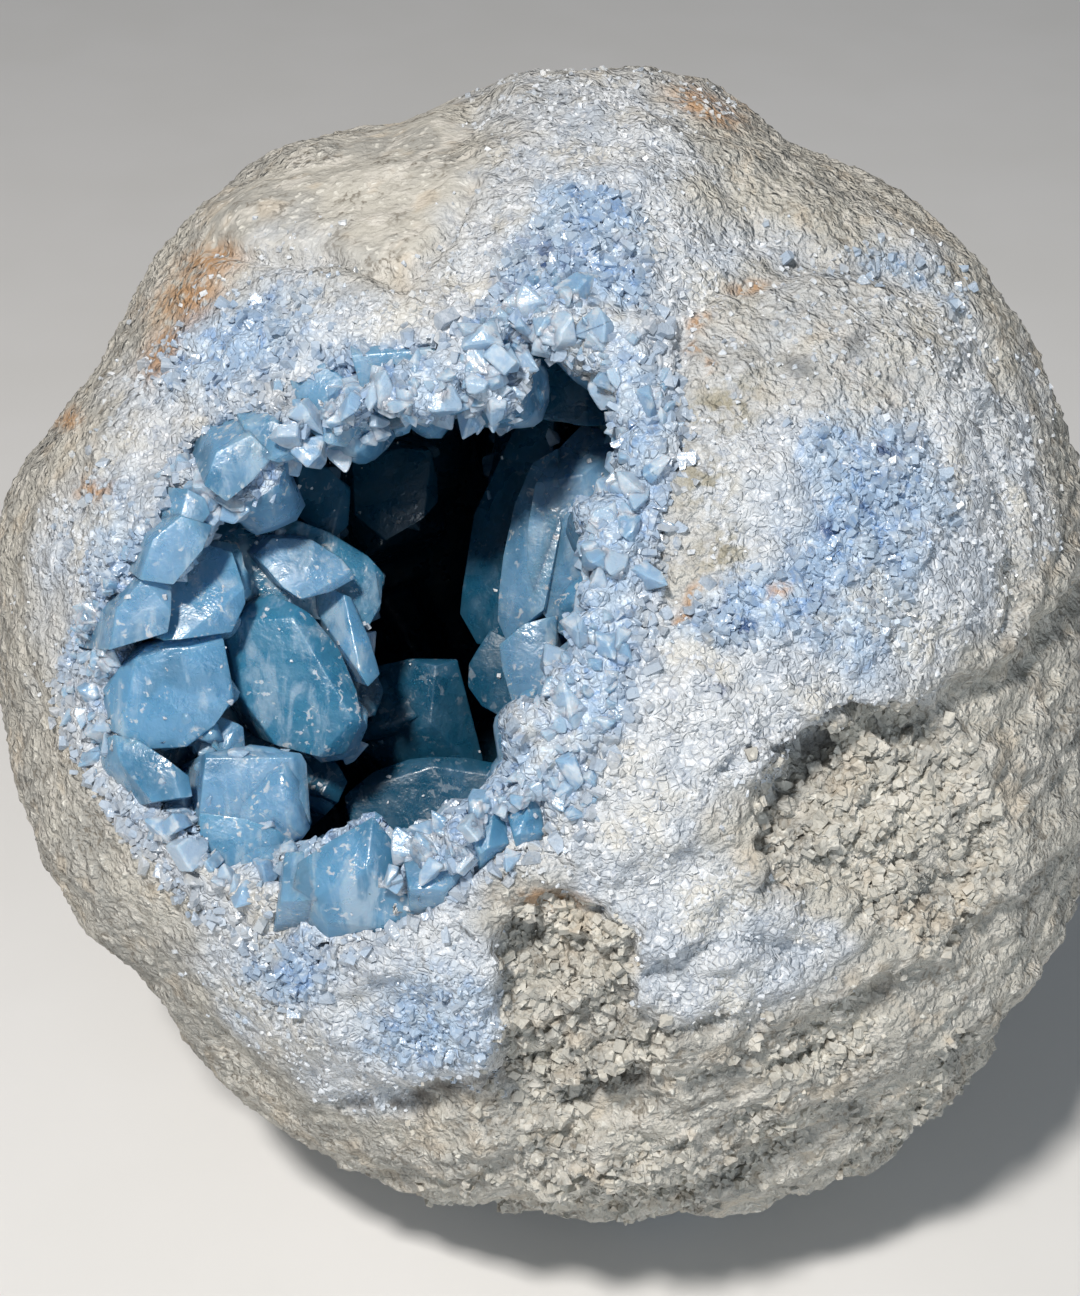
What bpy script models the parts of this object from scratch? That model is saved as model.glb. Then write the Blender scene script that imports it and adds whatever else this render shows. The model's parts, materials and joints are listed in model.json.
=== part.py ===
"""Celestite geode: a lumpy, hollow ball of pale rock and massive celestite that is open on
one side, with its hollow lined by a crust of blocky blue crystals.

Everything is modelled in the geode's own face frame: right, up and out, measured from the
middle of the rock. The face is the side with the mouth, and it looks up at an angle.
An empty carries the face frame to the world: metres, +Z up, standing on Z = 0.
"""

import math
import random

import bmesh
import bpy
from mathutils import Matrix, Vector, noise

MM = 0.001

# Driving dimensions
FACE_ELEVATION = math.radians(35)
GROUND_DROP = 88.0 * MM  # from the middle of the rock down to what it stands on
HOLLOW_CENTRE = Vector((-6, 2, 4)) * MM
HOLLOW_SIZE = Vector((59, 55, 59)) * MM
MOUTH_DEPTHS = (16 * MM, 48 * MM, 120 * MM)
MOUTH_SPREAD = (0.86, 1.0, 1.0)
RIM_BAND = 6.0 * MM  # how far the crust shows round the mouth
HOLLOW_LUMPS = (3.0, 24)  # height and size in mm
LINING = 5.0 * MM
LINING_JAGS = (3.5, 4)  # height and size in mm
SEAT_GAP = 0.4 * MM  # between the crust and the rock that it grew on
RIM_STEP = 1.0 * MM  # how much lower than the rock's surface the crust's rim lies
ROCK_FACES = 3000
ROCK_DETAIL = 6
HOLLOW_DETAIL = 3

# The rock's reach from its middle, round the face, every 15 degrees from the right
OUTLINE = [93, 92, 94, 95.5, 93, 96, 95, 91.5, 93.5, 91.5, 90, 92,
           92, 92.5, 90, 87.5, 92, 93, 95, 97.5, 100, 100.5, 98, 95]
FRONT_REACH = 91
BACK_REACH = 87
FACE_STARTS = -0.2  # where the face's own lumps begin, as the sine of the angle to the face
FACE_BLEND = 0.3

# Lumps of the whole rock: height and size in mm
BROAD_LUMPS = (2.6, 34)
RIDGES = (1.7, 13)
RIDGES_SHIFT = Vector((91, 39, 13)) * MM
SMALL_LUMPS = (0.5, 6)

# The mouth's edge, seen straight onto the face: right and up, from the top clockwise
MOUTH = [(-10, 38), (-6, 45), (3, 46), (9, 41), (10, 34), (12, 26), (10, 19), (8, 11),
         (6, 4), (3, -5), (0, -14), (-1, -20), (-7, -23), (-13, -26), (-20, -32),
         (-28, -36), (-36, -37), (-44, -35), (-51, -29), (-57, -21), (-63, -15),
         (-66, -8), (-63, 0), (-57, 7), (-51, 14), (-49, 22), (-42, 28), (-35, 31),
         (-26, 33), (-18, 36)]
MOUTH_MIDDLE = Vector((-26, 2)) * MM

# Lumps and dents of the face: right, up, half length, half width, turn, height
LUMPS = {
    "boulder": (42, 32, 27, 22, 20, 4.0),
    "boulder_groove": (38, 58, 30, 3.5, -8, -2.2),
    "shoulder": (6, 62, 20, 12, -15, 2.0),
    "top_notch": (-11, 84, 5, 4, 80, -3.5),
    "sheet": (28, -8, 34, 12, 35, 2.5),
    "pit": (36, -17, 9, 3.5, 30, -4.5),
    "lobe": (22, -44, 17, 9, 22, 3.5),
    "recess": (0, -42, 8, 10, 10, -2.5),
    "cave": (9, -68, 9, 3.5, 15, -5.0),
    "long_crack": (-9, -70, 18, 2.5, 10, -3.5),
    "side_notch": (-47, -66, 9, 3.0, -50, -3.0),
    "foot_ridge": (8, -79, 22, 4, 12, 3.0),
    "left_swell": (-76, -30, 9, 18, 25, 1.5),
}

# Bedding steps of the lower right: right, up, half length, half width of their area
STEPS_AREA = (46, -48, 62, 40)
STEPS_TURN = math.radians(28)
STEP_PITCH = 17 * MM
STEP_HEIGHT = 3.0 * MM
STEP_RISE = 0.25  # share of the pitch that a step rises over
STEP_WANDER = (5, 22)  # how far a step strays from a straight line, and over what length
BACK_STEP_SHARE = 0.6

# The ledge where the crystalline layer ends and stands proud of the dull rock below it,
# from the right edge down to the long crack: right and up
LEDGE = [(82, 10), (62, -5), (43, -12), (33, -19), (29, -32), (15, -43), (-6, -40), (-8, -66)]
LEDGE_RISE = 1.2 * MM
LEDGE_FALL = 3.2 * MM
LEDGE_RISE_WIDTH = 9 * MM
LEDGE_FALL_WIDTH = 16 * MM

# Crystals that show through the mouth: how far out the front stands, how long the crystal
# is, how its growth leans right and up of the eye, its outline as the eye sees it from
# EYE_DISTANCE, and its facets: a place on the front and how far it leans right and up
EYE_DISTANCE = 420
BLOCK_SIDE = 90 * MM
BLOCK_SET_BACK = 0.4  # how far behind the front its middle lies, as a share of its side
CRYSTALS = {
    "left_upper": (61, 26, (0.3, -0.1), [(-67, 1), (-63.5, 12.5), (-57.5, 17), (-53, 15.5),
        (-51.6, 7), (-54, 2)], [(-60, 8, -0.3, 0.45), (-54, 5, 0.5, -0.2)]),
    "left_front": (65, 26, (0.2, -0.05), [(-75, -8), (-73, -4), (-69, -0.5), (-61, 2), (-55.5, 1.6),
        (-53.3, -9), (-57, -14), (-61.5, -17.6), (-69, -18), (-74, -15)], [(-66, -8, -0.15, 0.05),
        (-59, -6, 0.3, 0.0), (-55.5, -5, 1.6, 0.1), (-62, 0, 0, 1.1), (-60, -14, 0.4, -0.7),
        (-72, -8, -0.9, 0.1)]),
    "big_clear": (60, 34, (0.3, -0.1), [(-54, 2), (-50, 6.5), (-46, 8.5), (-40, 5), (-35, -1),
        (-32.4, -8), (-32, -14), (-34, -19), (-38, -19.6), (-46, -17.5), (-52, -9)],
        [(-42, -5, -0.25, -0.1), (-38, -3, 0.75, 0.5), (-47, 4, -0.3, 0.9), (-36, -16, 0.5, -0.8),
        (-50, -2, -0.9, 0.0)]),
    "middle_chip": (62, 14, (0.3, 0.1), [(-60, -13), (-56, -12), (-52, -14), (-51.5, -19),
        (-57, -18)], [(-56, -15, -0.2, 0.4), (-53, -17, 0.6, 0.0)]),
    "fan_back": (44, 30, (0.3, -0.1), [(-59, 19), (-52, 22.5), (-46, 22.4), (-37, 19), (-30.5, 15),
        (-27.6, 12), (-28.5, 7), (-31, 3), (-50, 6), (-58, 12)], [(-46, 19, -0.2, 0.9),
        (-38, 12, 0.1, 0.15), (-30, 10, 0.9, 0.3)]),
    "fan_plate": (53, 16, (0.3, -0.15), [(-46, 10), (-50, 15), (-47, 18), (-40, 17.7), (-35, 14.5),
        (-32.5, 11), (-37, 9), (-43, 8)], [(-41, 13, -0.2, 0.25), (-48, 16, -0.8, 0.5),
        (-36, 11, 0.6, -0.4)]),
    "fan_strip": (51, 18, (0.3, -0.1), [(-42, 10), (-37, 9.5), (-33.6, 8), (-30.5, 1), (-29, -5),
        (-32, -7), (-36, 0)], [(-36, 4, -0.3, 0.3), (-31.5, 2, 0.8, 0.4)]),
    "fan_tip": (46, 18, (0.4, -0.1), [(-34, 13), (-31, 14.5), (-27.8, 12), (-28.8, 6), (-31, 2),
        (-34, 6)], [(-31, 10, 0.3, 0.2), (-30, 5, 0.2, -0.8)]),
    "strip_low": (48, 24, (0.3, 0.1), [(-34, -2), (-30.6, -1), (-28, -8), (-29.5, -12), (-33, -13)],
        [(-31, -6, 0.2, 0.1), (-29, -9, 1.0, -0.2)]),
    "low_block": (66, 26, (0.25, 0.1), [(-59, -18.6), (-51, -17), (-42, -18.4), (-40.9, -20),
        (-40.2, -30), (-43, -33), (-47, -36), (-55, -35), (-60, -30)], [(-50, -25, -0.15, 0.1),
        (-43.5, -25, 0.8, 0.05), (-48, -19, 0.1, 1.5), (-49, -32, 0.1, -0.6)]),
    "low_shelf": (66, 20, (0.2, 0.2), [(-60, -29), (-52, -30), (-43, -33), (-44, -40), (-52, -44),
        (-60, -38)], [(-52, -36, -0.2, 0.2), (-46, -37, 0.6, -0.1)]),
    "rim_wedge": (79, 26, (0.0, 0.5), [(-30.6, -28.6), (-24.3, -35.6), (-19, -42), (-26, -47),
        (-38, -46), (-44, -40), (-43, -34.5), (-37, -32)], [(-34, -36, -0.45, 0.3),
        (-28, -37, 0.55, 0.2), (-33, -42, 0.0, -0.5)]),
    "rim_wedge_side": (76, 18, (0.1, 0.4), [(-45, -34.6), (-42, -35), (-40, -45), (-46, -44)],
        [(-43, -38, -0.5, 0.3)]),
    "rim_slab": (83, 18, (0.0, 0.5), [(-25, -36.5), (-19, -33.2), (-14.4, -30.8), (-12, -36),
        (-18, -43), (-24, -43)], [(-19, -37, -0.3, 0.4), (-15, -35, 0.5, 0.0)]),
    "rim_point_a": (85, 16, (0.0, 0.5), [(-14.6, -31.5), (-12, -28.4), (-10, -26), (-7.4, -28.6),
        (-7, -34), (-12, -37)], [(-11.5, -30, -0.5, 0.5), (-8.5, -30, 0.7, 0.3)]),
    "rim_point_b": (86, 14, (-0.1, 0.5), [(-7.4, -28.8), (-5.2, -26.8), (-3.6, -25.6),
        (-1.6, -27.2), (-1, -32), (-6, -34)], [(-5, -28, -0.5, 0.6), (-2.5, -29, 0.7, 0.2)]),
    "floor_wedge": (38, 48, (0.0, 0.45), [(-30, -1.9), (-15.7, -2.2), (-13.6, -9), (-11, -17.8),
        (-14, -21), (-26, -21), (-34, -14), (-31, -6)], [(-23, -6, -0.3, 0.25),
        (-17, -12, 0.55, -0.1), (-24, -15, -0.1, -0.7), (-22, -2.6, 0.0, 2.2)]),
    "floor_dome": (44, 46, (0.0, 0.5), [(-35, -26), (-30, -21), (-24, -18.8), (-14, -18.4),
        (-6, -20), (0.4, -23), (0, -30), (-15, -36), (-24, -38), (-33, -33)],
        [(-26, -22, -0.25, 0.75), (-14, -21, 0.15, 0.9), (-18, -28, 0.0, -0.1),
        (-5, -25, 0.7, 0.1)]),
    "low_filler": (50, 28, (0.3, 0.3), [(-41, -19), (-37, -19), (-34, -23), (-36, -27), (-41, -26)],
        [(-39, -22, -0.2, 0.5), (-36, -24, 0.7, 0.0)]),
    "right_face": (52, 36, (-0.3, 0.0), [(-3.4, 20), (-3.8, 13), (-2, 6), (1, 2), (6, -1), (12, 8),
        (13, 20), (12.4, 31), (9, 36.8), (4, 37.6), (0.5, 33), (-2, 27)], [(4, 15, -0.22, 0.12),
        (9, 14, 0.35, 0.1), (5, 31, -0.1, 0.7), (3, 4, 0.0, -0.5)]),
    "right_low": (51, 34, (-0.2, 0.1), [(-8.6, 0), (-4, 3.5), (2, 5), (6, 1), (4, -6), (0.4, -10),
        (0, -15), (-3.5, -14.6), (-6.6, -10), (-8.2, -4)], [(-3, -4, -0.35, 0.2),
        (2, -3, 0.3, -0.1), (-3, -12, -0.1, -0.7)]),
    "right_under": (46, 34, (-0.3, 0.1), [(-14.2, -3), (-10, 2.5), (-7, 1), (-3, -14.8), (-7, -13),
        (-12, -10.3), (-14.4, -7)], [(-9, -5, -0.3, -0.1), (-12, -4, -0.9, 0.1)]),
    "right_flank": (40, 36, (-0.3, 0.0), [(-4, 38.4), (2, 38.8), (2, 20), (-6, 0), (-13, 0),
        (-16.6, 5), (-15, 15), (-13.8, 22.5), (-9.8, 30), (-6.5, 36)], [(-8, 20, -0.7, 0.1),
        (-11, 8, -1.0, -0.1)]),
    "right_ridge": (50, 20, (-0.3, 0.0), [(-3, 31), (0, 33.5), (0, 20), (-3, 6), (-8, 0.5),
        (-9.6, 4), (-8.4, 15), (-6.4, 24)], [(-4.5, 18, -0.55, 0.1), (-6, 6, -0.7, -0.2)]),
    "right_slab": (63, 14, (-0.5, 0.1), [(3.4, 1.3), (6.6, 1.9), (8, -2), (6, -8), (3.4, -9.2),
        (2.7, -4)], [(5, -3, -0.4, 0.2), (7, -3, 0.6, 0.1)]),
    "upper_teal": (52, 34, (-0.2, -0.35), [(-7, 45.4), (-4, 48.6), (2, 52), (8, 51.6), (12, 48),
        (12.6, 37), (4, 38), (-1.6, 38.6), (-4, 42)], [(2, 45, -0.2, -0.3), (8, 44, 0.5, -0.2),
        (-2, 45, -0.7, 0.1)]),
    "upper_curl": (68, 18, (-0.1, -0.6), [(-8, 51.4), (-6, 54), (-1, 55.4), (5, 53), (3, 50.4),
        (-4, 48.8), (-7.5, 49)], [(-2, 52, -0.1, -0.3), (-5, 50, -0.5, -0.8)]),
    "ceiling_slab": (72, 20, (0.1, -0.6), [(-34, 50), (-32.4, 44), (-29, 39.6), (-24.6, 38.6),
        (-21, 41.4), (-16, 42.4), (-13.6, 46.6), (-15, 51)], [(-24, 44, -0.2, 0.1),
        (-26, 40, -0.1, -0.9), (-17, 45, 0.5, -0.1)]),
    "ceiling_under": (64, 16, (0.1, -0.6), [(-32, 41), (-31, 35.8), (-28, 35.8), (-24, 37.4),
        (-24, 41)], [(-28, 38, -0.2, -0.4)]),
    "ceiling_dark": (62, 18, (0.1, -0.6), [(-25, 39), (-20.6, 34.6), (-18, 34.4), (-15.8, 38),
        (-15, 43), (-22, 43)], [(-20, 38, 0.1, -0.5), (-17, 39, 0.7, -0.1)]),
    "ceiling_tip": (76, 14, (0.1, -0.7), [(-13, 49), (-12.6, 46.4), (-11, 44.4), (-7.4, 44.8),
        (-5.6, 48), (-7, 51)], [(-10, 47, -0.1, -0.3), (-8, 47, 0.6, 0.0)]),
    "ceiling_grey": (70, 18, (0.2, -0.5), [(-44, 44), (-41, 36), (-37, 34), (-34.4, 33),
        (-31.8, 37), (-33.6, 44), (-38, 47)], [(-37, 40, -0.3, 0.2), (-34, 38, 0.5, -0.3)]),
    "ceiling_left": (70, 18, (0.3, -0.5), [(-52, 37), (-47, 38), (-41, 36), (-42, 31.6),
        (-46, 30.6), (-51, 32.6)], [(-47, 34, -0.2, 0.1), (-45, 32, 0.2, -0.8)]),
    "cluster_left": (45, 24, (0.4, -0.4), [(-58, 29.5), (-50, 31), (-44, 28), (-41.4, 24),
        (-43, 20), (-50, 19), (-57, 23)], [(-50, 25, -0.2, 0.1), (-45, 25, 0.6, 0.2),
        (-50, 29, 0.0, 0.9)]),
    "cluster_right": (36, 30, (0.4, -0.4), [(-42, 30.5), (-37, 29.5), (-33.4, 26), (-34, 20),
        (-38, 18), (-43, 22)], [(-38, 25, -0.1, 0.2), (-35, 24, 0.8, 0.0)]),
    "left_hexagon": (69, 12, (0.8, -0.1), [(-63.4, 22), (-61.6, 26.6), (-58.4, 25), (-57.6, 22.4),
        (-60, 19.8), (-63, 20)], [(-60.6, 23, 0.1, 0.1)]),
    "deep_block": (12, 44, (0.35, -0.35), [(-33, 31), (-25, 33.4), (-20, 33.2), (-18.6, 28),
        (-18.4, 24), (-23, 21), (-28, 18), (-33, 22)], [(-25, 27, -0.1, 0.1), (-20, 27, 0.8, 0.0)]),
}

# Crystals behind those, which they grow from: middle of the tip (right, up, out), size
# (width, depth, length), growth direction, roll in degrees and the form of the tip
ROOT_CRYSTALS = {
    "left_shelf": ((-53, -11, 50), (32, 46, 22), (0.3, 0.0, 1), 25, "block"),
    "left_root": ((-43, 12, 36), (24, 16, 30), (0.3, -0.2, 1), 8, "block"),
    "right_root": ((3, 14, 34), (26, 50, 36), (-0.25, 0.1, 1), 6, "block"),
}

# Small crystals all round the rim of the mouth, leaning in over it
RIM_CRYSTALS = 40
RIM_BARE = (0.57, 0.84)  # the stretch of the edge where the large blocks stand instead
RIM_CRYSTAL_WIDTH = (5.5 * MM, 9.5 * MM)
SMALL_CRYSTAL_DEPTH = (0.7, 1.0)  # as a share of width
RIM_CRYSTAL_LENGTH = 1.9  # as a share of width
RIM_CRYSTAL_TILT = (0.1, 0.9)  # inwards over the mouth
RIM_CRYSTAL_LEAN = 0.4
RIM_CRYSTAL_OVERHANG = 1.5 * MM

# Crystals of the hollow's unseen walls, spread evenly over them
WALL_CRYSTALS = 40
WALL_CRYSTAL_WIDTH = (15 * MM, 24 * MM)
WALL_CRYSTAL_LENGTH = (20 * MM, 30 * MM)
CLEAR_CONE = math.cos(math.radians(58))
SHOWN_FROM = (0.15, 0.35)  # out and right, where the named crystals stand

WALL_CRYSTAL_DEPTH = 0.7  # share of its length that a crystal stands out of the wall
WALL_CRYSTAL_LEAN = 0.35

# Cuts that shape a crystal from a block of side 1: facing, and reach from its middle
CUT_LEAN = 0.12
CUT_REACH = (0.94, 1.04)
SIDE_CUTS = (((1, 1, 0), 0.80), ((-1, 1, 0), 0.86), ((1, -1, 0), 0.84), ((-1, -1, 0), 0.78))
TIP_CUTS = {
    "block": (((0.12, -0.08, 1), 0.47), ((1, 0.1, 1.1), 0.84), ((-1, 0.1, 1.0), 0.83),
              ((0.1, 1, 1.2), 0.92), ((0, -1, 1.0), 0.86)),
    "chisel": (((0, 1, 0.8), 0.50), ((0, -1, 0.9), 0.52), ((1, 0, 1), 0.84),
               ((-1, 0.2, 1), 0.88)),
    "point": (((1, 0.2, 0.8), 0.44), ((-1, 0.2, 0.8), 0.46), ((0, 1, 0.7), 0.42),
              ((0.1, -1, 0.9), 0.50)),
}

MERGE_DISTANCE = 0.01 * MM
FLAT_ANGLE = math.radians(0.3)  # faces nearer than this to one plane become one

COLOURS = {
    "rock": (0.56, 0.53, 0.48),
    "celestite": (0.30, 0.47, 0.66),
}


def clear_scene():
    for thing in list(bpy.data.objects):
        bpy.data.objects.remove(thing, do_unlink=True)


def material(name, colour, roughness):
    made = bpy.data.materials.new(name)
    made.use_nodes = True
    shader = made.node_tree.nodes["Principled BSDF"]
    shader.inputs["Base Color"].default_value = (*colour, 1)
    shader.inputs["Roughness"].default_value = roughness
    shader.inputs["Metallic"].default_value = 0
    return made


def face_pose():
    """The empty that turns the face up and lifts the rock onto the ground."""
    pose = bpy.data.objects.new("face_pose", None)
    bpy.context.scene.collection.objects.link(pose)
    pose.rotation_euler = (math.pi / 2 - FACE_ELEVATION, 0, 0)
    pose.location = (0, 0, GROUND_DROP)
    return pose


def add_object(name, mesh, pose):
    made = bpy.data.objects.new(name, mesh)
    bpy.context.scene.collection.objects.link(made)
    made.parent = pose
    return made


def mesh_from(bm, name):
    mesh = bpy.data.meshes.new(name)
    bm.to_mesh(mesh)
    bm.free()
    return mesh


def apply_modifiers(thing):
    """Replaces the object's mesh with the one that its modifiers make."""
    bpy.context.view_layer.update()
    graph = bpy.context.evaluated_depsgraph_get()
    made = bpy.data.meshes.new_from_object(thing.evaluated_get(graph))
    thing.modifiers.clear()
    thing.data = made


def smooth_ring(values, turns):
    """Catmull-Rom reading of values spaced evenly round a circle; turns runs from 0 to 1."""
    count = len(values)
    place = (turns % 1) * count
    start = int(place) % count
    t = place - int(place)
    a, b, c, d = (values[(start + k) % count] for k in (-1, 0, 1, 2))
    return 0.5 * (2 * b + (c - a) * t + (2 * a - 5 * b + 4 * c - d) * t ** 2
                  + (3 * b - a - 3 * c + d) * t ** 3)


def oval_weight(right, up, oval, turn=0.0):
    """1 in the middle of an oval of the face, falling smoothly to 0 outside it."""
    x, y = right - oval[0] * MM, up - oval[1] * MM
    along = (x * math.cos(turn) + y * math.sin(turn)) / (oval[2] * MM)
    across = (y * math.cos(turn) - x * math.sin(turn)) / (oval[3] * MM)
    return math.exp(-((along ** 2 + across ** 2) ** 1.5))


def lumpiness(place, lumps):
    """Smooth noise of a height and a size, both in mm."""
    height, size = lumps
    return height * MM * noise.noise(place / (size * MM))


def step_height(right, up):
    """Bedding steps: a slow rise and a sharp fall, repeated across the bedding."""
    across = up * math.cos(STEPS_TURN) - right * math.sin(STEPS_TURN)
    phase = ((across + lumpiness(Vector((right, up, 0)), STEP_WANDER)) / STEP_PITCH) % 1
    rise = min(phase / STEP_RISE, (1 - phase) / (1 - STEP_RISE))
    return STEP_HEIGHT * (rise - 0.5)


def ledge_height(right, up):
    """The step down across the ledge, dying away on both sides of it."""
    here = Vector((right, up))
    nearest = None
    for start, end in zip(LEDGE, LEDGE[1:]):
        start, end = Vector(start) * MM, Vector(end) * MM
        along = end - start
        share = min(1, max(0, (here - start).dot(along) / along.length_squared))
        offset = here - start - along * share
        if nearest is None or offset.length < nearest:
            nearest = offset.length
            below = along.x * offset.y - along.y * offset.x > 0
    if below:
        return -LEDGE_FALL * math.exp(-nearest / LEDGE_FALL_WIDTH)
    return LEDGE_RISE * math.exp(-nearest / LEDGE_RISE_WIDTH)


def grain(place):
    """Lumps and ridges that cover the whole rock."""
    smaller_lumps = [size / 2 for size in BROAD_LUMPS]
    broad = lumpiness(place, BROAD_LUMPS) + lumpiness(place, smaller_lumps)
    ridge = -abs(lumpiness(place + RIDGES_SHIFT, RIDGES)) + 0.2 * RIDGES[0] * MM
    return broad + ridge + lumpiness(place, SMALL_LUMPS)


def rock_reach(direction):
    """How far the rock reaches from its middle, in a unit direction of the face frame."""
    right, up, out = direction
    turns = math.atan2(up, right) / (2 * math.pi)
    side = right ** 2 + up ** 2
    end = FRONT_REACH if out > 0 else BACK_REACH
    reach = (end + (smooth_ring(OUTLINE, turns) - end) * side) * MM
    place = direction * reach
    if out > FACE_STARTS:
        facing = min(1.0, (out - FACE_STARTS) / FACE_BLEND)
        bumps = sum(lump[5] * oval_weight(place.x, place.y, lump, math.radians(lump[4]))
                    for lump in LUMPS.values()) * MM
        bumps += step_height(place.x, place.y) * oval_weight(place.x, place.y, STEPS_AREA)
        bumps += ledge_height(place.x, place.y)
        reach += facing * bumps
    else:
        reach += BACK_STEP_SHARE * step_height(place.z, place.y)
    return reach + grain(place)


def rock_ball(name, pose, inset=0.0):
    """The whole rock with no hollow, cut flat where it stands on the ground."""
    bm = bmesh.new()
    bmesh.ops.create_icosphere(bm, subdivisions=ROCK_DETAIL, radius=1)
    for vert in bm.verts:
        direction = vert.co.normalized()
        vert.co = direction * (rock_reach(direction) - inset)
    ball = add_object(name, mesh_from(bm, name), pose)
    fewer = ball.modifiers.new("fewer_faces", "DECIMATE")
    fewer.ratio = ROCK_FACES / len(ball.data.polygons)
    apply_modifiers(ball)
    cut_ground(ball, inset)
    return ball


def cut_ground(ball, inset):
    """The ground flat: everything below what the rock stands on is cut away."""
    down = Vector((0, -math.cos(FACE_ELEVATION), -math.sin(FACE_ELEVATION)))
    bm = bmesh.new()
    bm.from_mesh(ball.data)
    cut = bmesh.ops.bisect_plane(
        bm, geom=bm.verts[:] + bm.edges[:] + bm.faces[:], clear_outer=True,
        plane_co=down * (GROUND_DROP - inset), plane_no=down)
    edges = [part for part in cut["geom_cut"] if isinstance(part, bmesh.types.BMEdge)]
    bmesh.ops.edgenet_fill(bm, edges=edges)
    bmesh.ops.triangulate(bm, faces=bm.faces[:])
    bmesh.ops.recalc_face_normals(bm, faces=bm.faces[:])
    bm.to_mesh(ball.data)
    bm.free()


def hollow_blob(name, pose, inset=0.0, jags=(0, 1)):
    """The ball-shaped part of the hollow, its wall moved inwards by inset."""
    bm = bmesh.new()
    bmesh.ops.create_icosphere(bm, subdivisions=HOLLOW_DETAIL, radius=1)
    for vert in bm.verts:
        direction = vert.co.normalized()
        wall = Vector(a * b for a, b in zip(direction, HOLLOW_SIZE))
        lumps = lumpiness(wall, HOLLOW_LUMPS) + lumpiness(wall, jags)
        vert.co = HOLLOW_CENTRE + wall + direction * (lumps - inset)
    return add_object(name, mesh_from(bm, name), pose)


def mouth_prism(name, pose, wider):
    """The way in: the mouth's outline run outwards through the rock."""
    bm = bmesh.new()
    rings = []
    for depth, spread in zip(MOUTH_DEPTHS, MOUTH_SPREAD):
        ring = []
        for right, up in MOUTH:
            arm = Vector((right, up)) * MM - MOUTH_MIDDLE
            arm = arm * spread + arm.normalized() * wider
            ring.append(bm.verts.new((*(MOUTH_MIDDLE + arm), depth)))
        rings.append(ring)
    count = len(MOUTH)
    for low, high in zip(rings, rings[1:]):
        for k in range(count):
            after = (k + 1) % count
            bm.faces.new((low[k], low[after], high[after], high[k]))
    bm.faces.new(rings[0])
    bm.faces.new(rings[-1])
    bmesh.ops.triangulate(bm, faces=bm.faces[:])
    bmesh.ops.recalc_face_normals(bm, faces=bm.faces[:])
    return add_object(name, mesh_from(bm, name), pose)


def combine(thing, operation, *others):
    """A Boolean with each of the others in turn, which are then removed."""
    for other in others:
        cut = thing.modifiers.new(operation.lower(), "BOOLEAN")
        cut.operation = operation
        cut.object = other
        cut.solver = "EXACT"
        apply_modifiers(thing)
        bpy.data.objects.remove(other, do_unlink=True)


def slice_off(bm, facing, place):
    """Cuts away what lies past a plane and closes the cut with one flat face."""
    cut = bmesh.ops.bisect_plane(
        bm, geom=bm.verts[:] + bm.edges[:] + bm.faces[:], clear_outer=True,
        plane_co=place, plane_no=facing.normalized())
    edges = [part for part in cut["geom_cut"] if isinstance(part, bmesh.types.BMEdge)]
    bmesh.ops.contextual_create(bm, geom=edges)


def growth_frame(grows):
    """Axes of a crystal: across, up and along its growth."""
    along = Vector(grows).normalized()
    across = Vector((0, 1, 0)).cross(along).normalized()
    return Matrix((across, along.cross(across), along)).transposed().to_4x4()


def any_way(chance, most):
    """A small step in a random direction, at most so far along each axis."""
    return Vector([chance.uniform(-most, most) for _ in range(3)])


def crystal(name, pose, tip_place, size, grows, roll, form):
    """One crystal: a block cut by flat faces, its tip where tip_place says."""
    chance = random.Random(name)
    bm = bmesh.new()
    bmesh.ops.create_cube(bm, size=1)
    for facing, reach in SIDE_CUTS + TIP_CUTS[form]:
        facing = Vector(facing) + any_way(chance, CUT_LEAN)
        reach *= chance.uniform(*CUT_REACH)
        slice_off(bm, facing, facing * (reach / facing.length_squared))
    bmesh.ops.recalc_face_normals(bm, faces=bm.faces[:])
    shape = Matrix.Diagonal((*size, 1)) @ Matrix.Translation((0, 0, -0.5))
    turn = Matrix.Rotation(math.radians(roll), 4, "Z")
    stand = Matrix.Translation(tip_place) @ growth_frame(grows) @ turn @ shape
    bmesh.ops.transform(bm, matrix=stand, verts=bm.verts[:])
    return add_object(name, mesh_from(bm, name), pose)


def shown_crystal(name, pose, depth, length, lean, outline, facets):
    """A crystal cut from a block by its outline, run along its growth, and its facets."""
    nearer = (1 - depth / EYE_DISTANCE) * MM
    corners = [Vector((right * nearer, up * nearer, depth * MM)) for right, up in outline]
    middle = sum(corners, Vector()) / len(corners)
    to_eye = (Vector((0, 0, EYE_DISTANCE * MM)) - middle).normalized()
    grows = (to_eye + Vector((*lean, 0))).normalized()
    bm = bmesh.new()
    bmesh.ops.create_cube(bm, size=BLOCK_SIDE)
    bmesh.ops.translate(bm, vec=middle - grows * BLOCK_SIDE * BLOCK_SET_BACK, verts=bm.verts[:])
    for start, end in zip(corners, corners[1:] + corners[:1]):
        facing = (end - start).cross(grows)
        if facing.dot(start - middle) < 0:
            facing = -facing
        slice_off(bm, facing, start)
    for right, up, leans_right, leans_up in facets:
        slice_off(bm, Vector((leans_right, leans_up, 1)),
                  Vector((right * nearer, up * nearer, depth * MM)))
    slice_off(bm, -grows, middle - grows * length * MM)
    bmesh.ops.recalc_face_normals(bm, faces=bm.faces[:])
    return add_object(name, mesh_from(bm, name), pose)


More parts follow.
